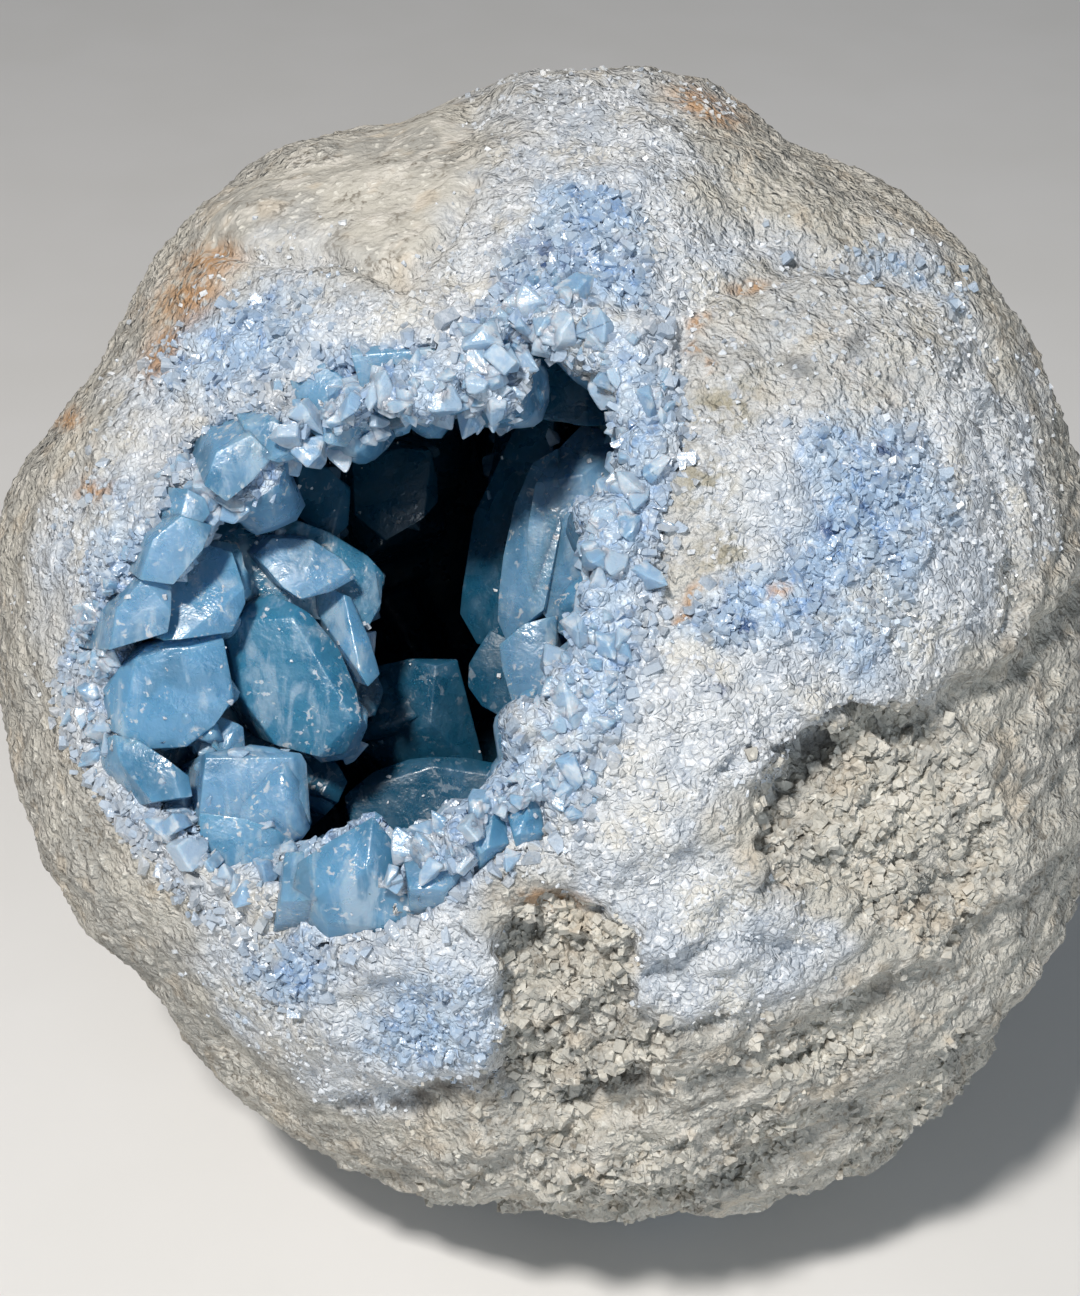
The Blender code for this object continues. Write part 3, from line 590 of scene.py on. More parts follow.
pick(rock)
open_mesh()
cut((0, 0, REST_HEIGHT), (0, 0, -1))
to_triangles()
close_mesh()
thin(rock, np.linalg.norm(on_face(points_of(rock)), axis=1) < HOLLOW_REACH, HIDDEN_SHARE)
thin(rock, on_face(points_of(rock))[:, 2] < FAR_BEHIND, FAR_SHARE)
apply(rock, "DECIMATE", ratio=min(1.0, ROCK_TRIANGLES / faces_of(rock)))
write_values(rock, stone_map(points_of(rock)))
print("rock:", faces_of(rock), "triangles")

# %% [markdown]
# ## The crystals
#
# Celestite grows in blocky, tabular crystals. Their faces are flat, but a real crystal's
# edges are slightly worn and its faces carry low growth steps. The crust is remeshed as
# well, smoothed just enough to soften the edges by half a millimetre, and given two very
# low layers of relief. The band that lies in the rock's surface gets rough cells instead.

# %% Parts of the crust
HOLLOW_MIDDLE = np.array((-6, 2, 4))
HOLLOW_RADII = np.array((59, 55, 59))
OUTER_WALL = 0.985
BAND_BEGINS, BAND_FULL = 83.5, 87.5
HOLLOW_SHADE_BEGINS, HOLLOW_SHADE_FULL = -62, -8


def reach_of(places):
    """How far each place lies from the rock's middle."""
    return np.linalg.norm(places, axis=1)


def wall_reach(places):
    """1 on the oval that the crust's outer wall follows, less inside it."""
    return reach_of((places - HOLLOW_MIDDLE) / HOLLOW_RADII)


def rim_band(points):
    """1 on the rough band of the crust that lies in the rock's surface, 0 on crystals."""
    places = on_face(points)
    ragged = reach_of(places) + 1.2 * soft_noise(places, 5, 21) + 0.8 * soft_noise(places, 2, 22)
    return ramp(ragged, BAND_BEGINS, BAND_FULL)


def against_rock(places):
    """Points of the crust's outer wall, which lie against the rock and never show."""
    return (wall_reach(places) > OUTER_WALL) & (reach_of(places) < 80)


def write_hollow_shade(thing):
    """Stores painted shade by how far back in the hollow each point lies: 0 in front, 1 at the back."""
    behind = -on_face(points_of(thing))[:, 2]
    write_values(thing, {"hollow_shade": ramp(behind, HOLLOW_SHADE_BEGINS, HOLLOW_SHADE_FULL)})


# %% Remesh and finish the crust
CRUST_VOXEL = 0.75 * MM
CRUST_TRIANGLES = 150000
SEAM_SWELL = 1.1 * MM
crust = copy_of_node("crystal_crust", "celestite_crystals")
apply(crust, "REMESH", mode="VOXEL", voxel_size=CRUST_VOXEL)
apply(crust, "SMOOTH", factor=0.5, iterations=2)
wall = ramp(wall_reach(on_face(points_of(crust))), 0.93, 0.98)
apply(crust, "DISPLACE", strength=SEAM_SWELL, mid_level=0, vertex_group=paint_group(crust, wall))
band = rim_band(points_of(crust))
push(crust, "growth_steps", 0.7, 1 - band, "VORONOI", 7, noise_intensity=1.0,
     distance_metric="MANHATTAN")
push(crust, "worn_faces", 0.28, np.ones(len(band)), size=2.2, noise_depth=1)
push(crust, "rim_cells", 1.5, band, "VORONOI", 2.6, 0.1, noise_intensity=1.6, weight_1=-1.0,
     weight_2=1.0)
print("crust net:", faces_of(crust), "triangles")
thin(crust, against_rock(on_face(points_of(crust))), HIDDEN_SHARE)
apply(crust, "DECIMATE", ratio=min(1.0, CRUST_TRIANGLES / faces_of(crust)))
write_values(crust, stone_map(points_of(crust)))
# Partly painted light and shade: the crust is milky and pale near the mouth and takes the darkest tone
# further back.
write_values(crust, {"milky": 0.9 * ramp(on_face(points_of(crust))[:, 2], 35, 62)})
write_hollow_shade(crust)
print("crust:", faces_of(crust), "triangles")

# %% [markdown]
# ## The large crystals
#
# The crust gives the place of each crystal, but clear crystals need crisp faces. Each large
# one starts as a plain block that is cut by planes, as cleavage would cut it: one plane for
# each side of its outline on the face, which runs back along the crystal's growth, then one
# for each facet in front. A narrow bevel wears the edges. The numbers are how far out the
# front stands, how long the crystal is, how its growth leans right and up, how milky it is,
# its outline as the eye sees it, and its facets: a place and how far each leans.

# %% Outlines of the large crystals
# The tones go from darkest to milky. The darkest is partly the crystals' own colour and partly painted
# shade, given to crystals that lie in shade far back in the hollow.
DARK_AND_SHADED, CLEAR, BLUE, MILKY = 0.0, 0.35, 0.65, 1.0
CRYSTALS = {
    "left_upper": (66, 31, (0.3, -0.1), BLUE, [(-67, 1), (-63.5, 12.5), (-57.5, 17), (-53, 15.5),
        (-51.6, 7), (-54, 2)], [(-60, 8, -0.1, 0.5), (-54, 5, 0.5, -0.2)]),
    "left_front": (66, 27, (0.2, -0.05), BLUE, [(-75, -8), (-73, -4), (-69, -0.5), (-61, 2),
        (-55.5, 1.6), (-53.3, -9), (-57, -14), (-61.5, -17.6), (-69, -18), (-74, -15)],
        [(-66, -8, 0.05, -0.1), (-59, -6, 0.3, 0.0), (-55.5, -5, 1.6, 0.1), (-62, 0, 0, 1.1),
        (-60, -14, 0.4, -0.7), (-72, -8, -0.9, 0.1)]),
    "big_clear": (62, 36, (0.3, -0.1), CLEAR, [(-54, 2), (-50, 6.5), (-46, 8.5), (-40, 5),
        (-35, -1), (-32.4, -8), (-32, -14), (-34, -19), (-38, -19.6), (-46, -17.5), (-52, -9)],
        [(-42, -5, -0.25, -0.1), (-38, -3, 0.75, 0.5), (-47, 4, -0.3, 0.9), (-36, -16, 0.5, -0.8),
        (-50, -2, -0.9, 0.0)]),
    "middle_chip": (62, 14, (0.3, 0.1), MILKY, [(-60, -13), (-56, -12), (-52, -14), (-51.5, -19),
        (-57, -18)], [(-56, -15, -0.2, 0.4), (-53, -17, 0.6, 0.0)]),
    "fan_back": (54, 38, (0.3, -0.1), CLEAR, [(-59, 19), (-52, 22.5), (-46, 22.4), (-37, 19),
        (-30.5, 15), (-27.6, 12), (-28.5, 7), (-31, 3), (-50, 6), (-58, 12)], [(-46, 19, -0.2, 0.9),
        (-38, 12, 0.1, 0.15), (-30, 10, 0.9, 0.3)]),
    "fan_plate": (60, 22, (0.3, -0.15), MILKY, [(-46, 10), (-50, 15), (-47, 18), (-40, 17.7),
        (-35, 14.5), (-32.5, 11), (-37, 9), (-43, 8)], [(-41, 13, 0.1, 0.4), (-48, 16, -0.8, 0.5),
        (-36, 11, 0.6, -0.4)]),
    "fan_strip": (57, 24, (0.3, -0.1), BLUE, [(-42, 10), (-37, 9.5), (-33.6, 8), (-30.5, 1),
        (-29, -5), (-32, -7), (-36, 0)], [(-36, 4, -0.55, 0.1), (-31.5, 2, 0.8, 0.4)]),
    "fan_tip": (52, 24, (0.4, -0.1), BLUE, [(-34, 13), (-31, 14.5), (-27.8, 12), (-28.8, 6),
        (-31, 2), (-34, 6)], [(-31, 10, 0.3, 0.2), (-30, 5, 0.2, -0.8)]),
    "strip_low": (48, 24, (0.3, 0.1), DARK_AND_SHADED, [(-34, -2), (-30.6, -1), (-28, -8), (-29.5, -12),
        (-33, -13)], [(-31, -6, 0.2, 0.1), (-29, -9, 1.0, -0.2)]),
    "low_block": (66, 26, (0.25, 0.1), MILKY, [(-59, -18.6), (-51, -17), (-42, -18.4), (-40.9, -20),
        (-40.2, -30), (-43, -33), (-47, -36), (-55, -35), (-60, -30)], [(-50, -25, 0.1, -0.12),
        (-43.5, -25, 0.8, 0.05), (-48, -19, 0.1, 1.5), (-49, -32, 0.1, -0.6)]),
    "low_shelf": (66, 20, (0.2, 0.2), BLUE, [(-60, -29), (-52, -30), (-43, -33), (-44, -40),
        (-52, -44), (-60, -38)], [(-52, -36, 0.0, -0.2), (-46, -37, 0.6, -0.1)]),
    "rim_wedge": (82, 28, (0.0, 0.5), BLUE, [(-30.6, -28.6), (-24.3, -35.6), (-19, -42), (-26, -47),
        (-38, -46), (-44, -40), (-43, -34.5), (-37, -32)], [(-34, -36, -0.45, 0.3),
        (-28, -37, 0.55, 0.2), (-33, -42, 0.0, -0.5)]),
    "rim_wedge_side": (79, 20, (0.1, 0.4), MILKY, [(-45, -34.6), (-42, -35), (-40, -45),
        (-46, -44)], [(-43, -38, -0.5, 0.3)]),
    "rim_slab": (85, 20, (0.0, 0.5), MILKY, [(-25, -36.5), (-19, -33.2), (-14.4, -30.8), (-12, -36),
        (-18, -43), (-24, -43)], [(-19, -37, -0.1, 0.6), (-15, -35, 0.5, 0.0)]),
    "rim_point_a": (87, 18, (0.0, 0.5), BLUE, [(-14.6, -31.5), (-12, -28.4), (-10, -26),
        (-7.4, -28.6), (-7, -34), (-12, -37)], [(-11.5, -30, -0.5, 0.5), (-8.5, -30, 0.7, 0.3)]),
    "rim_point_b": (88, 16, (-0.1, 0.5), BLUE, [(-7.4, -28.8), (-5.2, -26.8), (-3.6, -25.6),
        (-1.6, -27.2), (-1, -32), (-6, -34)], [(-5, -28, -0.5, 0.6), (-2.5, -29, 0.7, 0.2)]),
    "floor_wedge": (38, 48, (0.0, 0.45), DARK_AND_SHADED, [(-30, -1.9), (-15.7, -2.2), (-13.6, -9),
        (-11, -17.8), (-14, -21), (-26, -21), (-34, -14), (-31, -6)], [(-23, -6, -0.55, 0.0),
        (-17, -12, 0.55, -0.1), (-24, -15, -0.1, -0.7), (-22, -2.6, 0.0, 2.2)]),
    "floor_dome": (44, 46, (0.0, 0.5), DARK_AND_SHADED, [(-35, -26), (-30, -21), (-24, -18.8), (-14, -18.4),
        (-6, -20), (0.4, -23), (0, -30), (-15, -36), (-24, -38), (-33, -33)],
        [(-26, -22, -0.25, 0.75), (-14, -21, 0.15, 0.9), (-18, -28, 0.0, -0.1),
        (-5, -25, 0.7, 0.1)]),
    "low_filler": (50, 28, (0.3, 0.3), DARK_AND_SHADED, [(-41, -19), (-37, -19), (-34, -23), (-36, -27),
        (-41, -26)], [(-39, -22, -0.2, 0.5), (-36, -24, 0.7, 0.0)]),
    "right_face": (52, 36, (-0.3, 0.0), MILKY, [(-3.4, 20), (-3.8, 13), (-2, 6), (1, 2), (6, -1),
        (12, 8), (13, 20), (12.4, 31), (9, 36.8), (4, 37.6), (0.5, 33), (-2, 27)],
        [(4, 15, 0.05, -0.12), (9, 14, 0.45, 0.0), (5, 31, -0.1, 0.7), (3, 4, 0.0, -0.5)]),
    "right_low": (51, 34, (-0.2, 0.1), MILKY, [(-8.6, 0), (-4, 3.5), (2, 5), (6, 1), (4, -6),
        (0.4, -10), (0, -15), (-3.5, -14.6), (-6.6, -10), (-8.2, -4)], [(-3, -4, -0.1, -0.15),
        (2, -3, 0.3, -0.1), (-3, -12, -0.1, -0.7)]),
    "right_under": (46, 34, (-0.3, 0.1), DARK_AND_SHADED, [(-14.2, -3), (-10, 2.5), (-7, 1), (-3, -14.8),
        (-7, -13), (-12, -10.3), (-14.4, -7)], [(-9, -5, -0.3, -0.1), (-12, -4, -0.9, 0.1)]),
    "right_flank": (40, 36, (-0.3, 0.0), DARK_AND_SHADED, [(-4, 38.4), (2, 38.8), (2, 20), (-6, 0), (-13, 0),
        (-16.6, 5), (-15, 15), (-13.8, 22.5), (-9.8, 30), (-6.5, 36)], [(-8, 20, -0.7, 0.1),
        (-11, 8, -1.0, -0.1)]),
    "right_ridge": (50, 20, (-0.3, 0.0), MILKY, [(-3, 31), (2, 33.5), (3, 20), (0, 6), (-8, 0.5),
        (-9.6, 4), (-8.4, 15), (-6.4, 24)], [(-4.5, 18, -0.55, 0.1), (-6, 6, -0.7, -0.2)]),
    "right_slab": (63, 14, (-0.5, 0.1), BLUE, [(3.4, 1.3), (6.6, 1.9), (8, -2), (6, -8),
        (3.4, -9.2), (2.7, -4)], [(5, -3, -0.4, 0.2), (7, -3, 0.6, 0.1)]),
    "upper_teal": (57, 38, (-0.2, -0.35), DARK_AND_SHADED, [(-7, 45.4), (-4, 48.6), (2, 52), (8, 51.6),
        (12, 48), (12.6, 37), (4, 38), (-1.6, 38.6), (-4, 42)], [(2, 45, -0.15, 0.1),
        (8, 44, 0.45, 0.1), (-2, 45, -0.7, 0.1)]),
    "upper_curl": (68, 18, (-0.1, -0.6), DARK_AND_SHADED, [(-8, 51.4), (-6, 54), (-1, 55.4), (5, 53),
        (3, 50.4), (-4, 48.8), (-7.5, 49)], [(-2, 52, -0.1, -0.3), (-5, 50, -0.5, -0.8)]),
    "ceiling_slab": (79, 20, (0.1, -0.6), MILKY, [(-34, 50), (-32.4, 44), (-29, 39.6),
        (-24.6, 38.6), (-21, 41.4), (-16, 42.4), (-13.6, 46.6), (-15, 51)], [(-24, 44, 0.05, -0.12),
        (-26, 40, -0.1, -0.9), (-17, 45, 0.5, -0.1)]),
    "ceiling_under": (70, 16, (0.1, -0.6), DARK_AND_SHADED, [(-32, 41), (-31, 35.8), (-28, 35.8), (-24, 37.4),
        (-24, 41)], [(-28, 38, -0.2, -0.4)]),
    "ceiling_dark": (62, 18, (0.1, -0.6), DARK_AND_SHADED, [(-25, 39), (-20.6, 34.6), (-18, 34.4),
        (-15.8, 38), (-15, 43), (-22, 43)], [(-20, 38, 0.1, -0.5), (-17, 39, 0.7, -0.1)]),
    "ceiling_tip": (80, 14, (0.1, -0.7), MILKY, [(-13, 49), (-12.6, 46.4), (-11, 44.4),
        (-7.4, 44.8), (-5.6, 48), (-7, 51)], [(-10, 47, -0.1, -0.3), (-8, 47, 0.6, 0.0)]),
    "ceiling_grey": (77, 18, (0.2, -0.5), MILKY, [(-44, 44), (-41, 36), (-37, 34), (-34.4, 33),
        (-31.8, 37), (-33.6, 44), (-38, 47)], [(-37, 40, -0.3, 0.2), (-34, 38, 0.5, -0.3)]),
    "ceiling_left": (76, 18, (0.3, -0.5), MILKY, [(-52, 37), (-47, 38), (-41, 36), (-42, 31.6),
        (-46, 30.6), (-51, 32.6)], [(-47, 34, -0.2, 0.1), (-45, 32, 0.2, -0.8)]),
    "cluster_left": (53, 32, (0.4, -0.4), DARK_AND_SHADED, [(-58, 29.5), (-50, 31), (-44, 28), (-41.4, 24),
        (-43, 20), (-50, 19), (-57, 23)], [(-50, 25, -0.2, 0.1), (-45, 25, 0.6, 0.2),
        (-50, 29, 0.0, 0.9)]),
    "cluster_right": (45, 38, (0.4, -0.4), DARK_AND_SHADED, [(-42, 30.5), (-37, 29.5), (-33.4, 26), (-34, 20),
        (-38, 18), (-43, 22)], [(-38, 25, -0.1, 0.2), (-35, 24, 0.8, 0.0)]),
    "left_hexagon": (72, 16, (0.8, -0.1), MILKY, [(-63.4, 22), (-61.6, 26.6), (-58.4, 25),
        (-57.6, 22.4), (-60, 19.8), (-63, 20)], [(-60.6, 23, 0.1, 0.1)]),
    "left_wall_low": (71, 28, (0.3, 0.0), MILKY, [(-75, -1), (-74, 6), (-69, 12), (-64, 10),
        (-65, 2)], [(-69, 5, 0.0, -0.1), (-66, 8, 0.5, 0.3)]),
    "left_wall_high": (73, 30, (0.3, -0.2), MILKY, [(-70, 11), (-68, 18), (-63, 22), (-57, 20),
        (-59, 16), (-64, 10)], [(-64, 16, 0.1, -0.1), (-60, 17, 0.5, 0.1)]),
    "left_wall_foot": (67, 24, (0.3, 0.1), BLUE, [(-74, -13), (-70, -16), (-62, -18), (-61, -26),
        (-68, -27), (-73, -20)], [(-67, -21, -0.2, 0.1), (-64, -20, 0.4, 0.3)]),
    "upper_wall": (76, 16, (0.2, -0.5), MILKY, [(-59, 27), (-57, 33), (-51, 36), (-47, 32),
        (-50, 28), (-55, 24)], [(-53, 31, 0.05, -0.1), (-50, 30, 0.4, -0.4)]),
    "deep_block": (20, 52, (0.35, -0.35), DARK_AND_SHADED, [(-33, 31), (-25, 33.4), (-20, 33.2), (-18.6, 28),
        (-18.4, 24), (-23, 21), (-28, 18), (-33, 22)], [(-25, 27, -0.1, 0.1), (-20, 27, 0.8, 0.0)]),
}

# %% [markdown]
# Every plane is a bisect that fills its cut, so the block stays closed from first to last.
# A crystal leans away from the wall it grows on, so that its foot is rooted there.

# %% Cutting the large crystals
BLOCK_SIDE = 90 * MM
SET_BACK = 0.4
EDGE_WEAR = 0.24 * MM


def at_face(right, up, out):
    """A place given in millimetres right, up and out of the rock's middle."""
    return MIDDLE + (RIGHT * right + UP * up + OUT * out) * MM


def large_crystal(name, depth, length, lean, milky, outline, facets):
    """One crystal, cut from a block by its outline and its facets."""
    nearer = 1 - depth * MM / EYE_DISTANCE
    corners = [at_face(right * nearer, up * nearer, depth) for right, up in outline]
    middle = sum(corners, Vector()) / len(corners)
    to_eye = (MIDDLE + OUT * EYE_DISTANCE - middle).normalized()
    grows = (to_eye + RIGHT * lean[0] + UP * lean[1]).normalized()
    made = new_block(name, BLOCK_SIDE, middle - grows * BLOCK_SIDE * SET_BACK, FACE_TURN)
    for start, end in zip(corners, corners[1:] + corners[:1]):
        facing = (end - start).cross(grows).normalized()
        cut(start, facing if facing.dot(start - middle) > 0 else -facing)
    for right, up, leans_right, leans_up in facets:
        facing = (RIGHT * leans_right + UP * leans_up + OUT).normalized()
        cut(at_face(right * nearer, up * nearer, depth), facing)
    cut(middle - grows * length * MM, -grows)
    bpy.ops.mesh.select_all(action="SELECT")
    bpy.ops.mesh.bevel(offset=EDGE_WEAR, segments=2, affect="EDGES")
    to_triangles()
    close_mesh()
    write_values(made, {"milky": np.full(len(made.data.vertices), milky)})
    return made


# %% Cut the large crystals
large = joined([large_crystal(name, *shape) for name, shape in CRYSTALS.items()], "large_crystals")
write_hollow_shade(large)
print("large crystals:", faces_of(large), "triangles")

# %% [markdown]
# The crust underneath has the same crystals, rounded by its remesh. It is sunk wherever it
# lies against a cut crystal, so that only the crisp faces show. The distance carries a sign:
# it is negative inside a crystal.

# %% Sink the crust under the large crystals
SINK_DEPTH = 1.8 * MM


def distance_out(points, thing):
    """How far outside another mesh each point lies, in mm; inside it is negative."""
    corners = [vertex.co for vertex in thing.data.vertices]
    tree = BVHTree.FromPolygons(corners, corners_of(thing).tolist())
    found = []
    for point in points:
        place, normal, _, distance = tree.find_nearest(Vector(point))
        found.append(distance if (Vector(point) - place).dot(normal) > 0 else -distance)
    return np.array(found) / MM


covered = 1 - ramp(distance_out(points_of(crust), large), 0.9, 2.2)
apply(crust, "DISPLACE", strength=-SINK_DEPTH, mid_level=0,
      vertex_group=paint_group(crust, covered))
crust_free = ramp(distance_out(points_of(crust), large), 0.2, 1.4)
print("crust points under a large crystal:", int((covered > 0.5).sum()))

# %% [markdown]
# ## Grains
#
# Seen closely, the white ring is not a skin but a heap of small crystals. Each kind of
# grain has five or six seeds that are modelled once, as blocks cut by slanted planes, the way
# cleavage would cut them. Geometry Nodes then strews them over a copy of the surface and
# makes the copies real, so that each piece is one plain mesh.

# %% Seed grains
TIP_WEAR = 0.04


def seed_grain(name, chance, cuts, shape):
    """A block of unit size with some of its corners cut off."""
    grain = new_block(name, 1)
    for _ in range(cuts):
        facing = Vector([chance.uniform(-1, 1) for _ in range(3)]).normalized()
        cut(facing * chance.uniform(0.34, 0.46), facing)
    to_triangles()
    bpy.ops.transform.resize(value=shape)
    close_mesh()
    return grain


def pointed_seed(name, chance, width, depth):
    """A standing crystal of unit length with a chisel tip and worn edges."""
    grain = new_block(name, 1, location=(0, 0, 0.08))
    for turn in (0, math.pi, chance.uniform(1, 2), chance.uniform(4, 5)):
        slope = chance.uniform(0.7, 1.5)
        facing = Vector((math.cos(turn) * slope, math.sin(turn) * slope, 1)).normalized()
        cut(Vector((0, 0, chance.uniform(0.4, 0.58))), facing)
    bpy.ops.mesh.select_all(action="SELECT")
    bpy.ops.transform.resize(value=(width, depth, 1))
    bpy.ops.mesh.bevel(offset=TIP_WEAR, segments=1, affect="EDGES")
    to_triangles()
    close_mesh()
    return grain


def seed_set(name, count, seed, maker, *shape):
    """A collection of seed grains that Geometry Nodes picks from."""
    chance = random.Random(seed)
    made = bpy.data.collections.new(name)
    for number in range(count):
        grain = maker(f"{name}_{number}", chance, *shape)
        for home in list(grain.users_collection):
            home.objects.unlink(grain)
        made.objects.link(grain)
    return made


sugar_seeds = seed_set("sugar_seed", 5, 3, seed_grain, 3, (1, 0.8, 0.65))
blade_seeds = seed_set("blade_seed", 5, 8, seed_grain, 4, (0.75, 0.6, 1.1))
crumb_seeds = seed_set("crumb_seed", 5, 15, seed_grain, 4, (1, 0.9, 0.8))
point_seeds = seed_set("point_seed", 6, 21, pointed_seed, 0.72, 0.5)

# %% [markdown]
# The node tree reads left to right: points are spread over the faces by a density painted
# on them, a random seed grain lands on each, turned and sized by chance, and the copies are
# made real. Each grain keeps the map's values of the spot where it landed, and one random
# value of its own that later varies its colour.

# %% Scattering with Geometry Nodes
RANDOM_SOCKETS = {"FLOAT_VECTOR": (0, 1, 0), "FLOAT": (2, 3, 1)}
LEAST_UNEVEN, MOST_UNEVEN = (0.7, 0.7, 0.7), (1.3, 1.3, 1.3)


def wire(node, wires):
    """Gives each named input of a node a value, or another node's output."""
    for key, value in wires.items():
        if isinstance(value, bpy.types.NodeSocket):
            node.id_data.links.new(value, node.inputs[key])
        else:
            node.inputs[key].default_value = value


def step(tree, kind, wires, **settings):
    """Adds a node to a tree and wires it."""
    made = tree.nodes.new(kind)
    for key, value in settings.items():
        setattr(made, key, value)
    wire(made, wires)
    return made


def chance_value(tree, kind, low, high, seed):
    """A random value for each point or instance, between low and high."""
    least, most, result = RANDOM_SOCKETS[kind]
    made = step(tree, "FunctionNodeRandomValue", {least: low, most: high, "Seed": seed},
                data_type=kind)
    return made.outputs[result]


def grain_tree(name, seeds, per_area, sizes, tilt, smallness, seed):
    """The node tree that turns a surface into grains lying on it."""
    tree = bpy.data.node_groups.new(name, "GeometryNodeTree")
    for way in ("INPUT", "OUTPUT"):
        tree.interface.new_socket("Geometry", in_out=way, socket_type="NodeSocketGeometry")
    surface = step(tree, "NodeGroupInput", {}).outputs[0]
    painted = step(tree, "GeometryNodeInputNamedAttribute", {"Name": "density"},
                   data_type="FLOAT")
    density = step(tree, "ShaderNodeMath", {0: painted.outputs["Attribute"], 1: per_area},
                   operation="MULTIPLY")
    spread = step(tree, "GeometryNodeDistributePointsOnFaces",
                  {"Mesh": surface, "Density": density.outputs[0], "Seed": seed})
    turn = chance_value(tree, "FLOAT_VECTOR", (-tilt, -tilt, 0), (tilt, tilt, math.tau), seed + 1)
    tilted = step(tree, "FunctionNodeEulerToRotation", {"Euler": turn})
    lean = step(tree, "FunctionNodeRotateRotation",
                {"Rotation": spread.outputs["Rotation"], "Rotate By": tilted.outputs[0]},
                rotation_space="LOCAL")
    size = chance_value(tree, "FLOAT", 0.0, 1.0, seed + 2)
    small = step(tree, "ShaderNodeMath", {0: size, 1: smallness}, operation="POWER")
    scale = step(tree, "ShaderNodeMapRange",
                 {"Value": small.outputs[0], "To Min": sizes[0] * MM, "To Max": sizes[1] * MM})
    uneven = chance_value(tree, "FLOAT_VECTOR", LEAST_UNEVEN, MOST_UNEVEN, seed + 3)
    shape = step(tree, "ShaderNodeVectorMath", {0: uneven, "Scale": scale.outputs[0]},
                 operation="SCALE")
    kinds = step(tree, "GeometryNodeCollectionInfo",
                 {"Collection": seeds, "Separate Children": True, "Reset Children": True})
    laid = step(tree, "GeometryNodeInstanceOnPoints",
                {"Points": spread.outputs["Points"], "Instance": kinds.outputs[0],
                 "Pick Instance": True, "Rotation": lean.outputs[0],
                 "Scale": shape.outputs[0]})
    own = step(tree, "GeometryNodeStoreNamedAttribute",
               {"Geometry": laid.outputs[0], "Name": "own",
                "Value": chance_value(tree, "FLOAT", 0.0, 1.0, seed + 4)},
               data_type="FLOAT", domain="INSTANCE")
    real = step(tree, "GeometryNodeRealizeInstances", {"Geometry": own.outputs[0]})
    step(tree, "NodeGroupOutput", {0: real.outputs[0]})
    return tree


# %% [markdown]
# The density is worked out from a count, so that each kind of grain can be asked for by
# number: the surface's area is measured first, with each face counted by its paint.

# %% Strewing by number


def painted_area(thing, density):
    """The surface's area in square metres, each face counted by its painted density."""
    areas = np.empty(len(thing.data.polygons))
    thing.data.polygons.foreach_get("area", areas)
    return float((areas * density[corners_of(thing)].mean(axis=1)).sum())


def strew(surface, name, seeds, count, sizes, density, tilt=math.pi, smallness=1.6, seed=1):
    """A new piece: about this many grains, lying where the density is painted; sizes in mm."""
    pick(surface)
    bpy.ops.object.duplicate()
    piece = bpy.context.object
    piece.name = piece.data.name = name
    write_values(piece, {"density": density})
    per_area = count / painted_area(piece, density)
    tree = grain_tree(name + "_tree", seeds, per_area, sizes, tilt, smallness, seed)
    apply(piece, "NODES", node_group=tree)
    piece.vertex_groups.clear()
    bpy.data.node_groups.remove(tree)
    print(name, faces_of(piece), "triangles")
    return piece


# %% [markdown]
# Crystals stand round the mouth and between the large blocks. The seam between rock and
# crust lies among them, and a row of small grains grows over it. White grains cover the
# crystalline stone, thin enough to leave its own relief in view, and crumbs lie where the
# marl crumbles.

# %% Distance to the seam
SEAM_WIDTH = 2.6


def near_seam(points, thing):
    """1 where the seam to another mesh runs along the outer surface, 0 elsewhere."""
    tree = kdtree.KDTree(len(thing.data.vertices))
    for vertex in thing.data.vertices:
        tree.insert(vertex.co, vertex.index)
    tree.balance()
    found = np.zeros(len(points))
    outer = np.flatnonzero(reach_of(on_face(points)) > 80)
    apart = np.array([tree.find(point)[2] for point in points[outer]]) / MM
    found[outer] = ramp(SEAM_WIDTH - apart, 0, 1)
    return found


# %% Strew the crystals
values = stone_map(points_of(rock))
rock_places = on_face(points_of(rock))
outside = ramp(reach_of(rock_places), 82, 85)
front = ramp(rock_places[:, 2], -20, 5) * outside
patchy = ramp(soft_noise(rock_places, 6, 31) + 0.5 * soft_noise(rock_places, 2.5, 32), -0.5, 0.5)
crust_places = on_face(points_of(crust))
crust_reach = reach_of(crust_places)
rim = -depth_inside(as_seen(crust_places), MOUTH)
edge = ramp(9 - np.abs(rim - 2), 0, 7) * ramp(crust_places[:, 2], 30, 50)
edge *= 1 - 0.7 * ramp(crust_places[:, 0], 2, 12)
between = ramp(crust_places[:, 2], 0, 30) * ramp(78 - crust_reach, 0, 6)
anywhere = np.ones(len(large.data.vertices))
druse = joined([
    strew(crust, "rim_druse", point_seeds, 900, (2.0, 6.4),
          edge * ramp(crust_reach, 70, 80) * crust_free, 0.7, 1.8, seed=61),
    strew(crust, "inner_druse", point_seeds, 190, (3, 7),
          between * crust_free * (1 - against_rock(crust_places)), 0.6, 1.5, seed=63),
    strew(rock, "outer_druse", point_seeds, 640, (1.6, 4.6),
          values["rim"] * outside * (1 - 0.6 * ramp(rock_places[:, 0], 2, 12)), 0.8, 1.8, seed=65),
    strew(large, "grown_on", point_seeds, 120, (1.4, 3.4), anywhere, 1.2, 1.8, seed=67),
], "druse_crystals")
write_hollow_shade(druse)

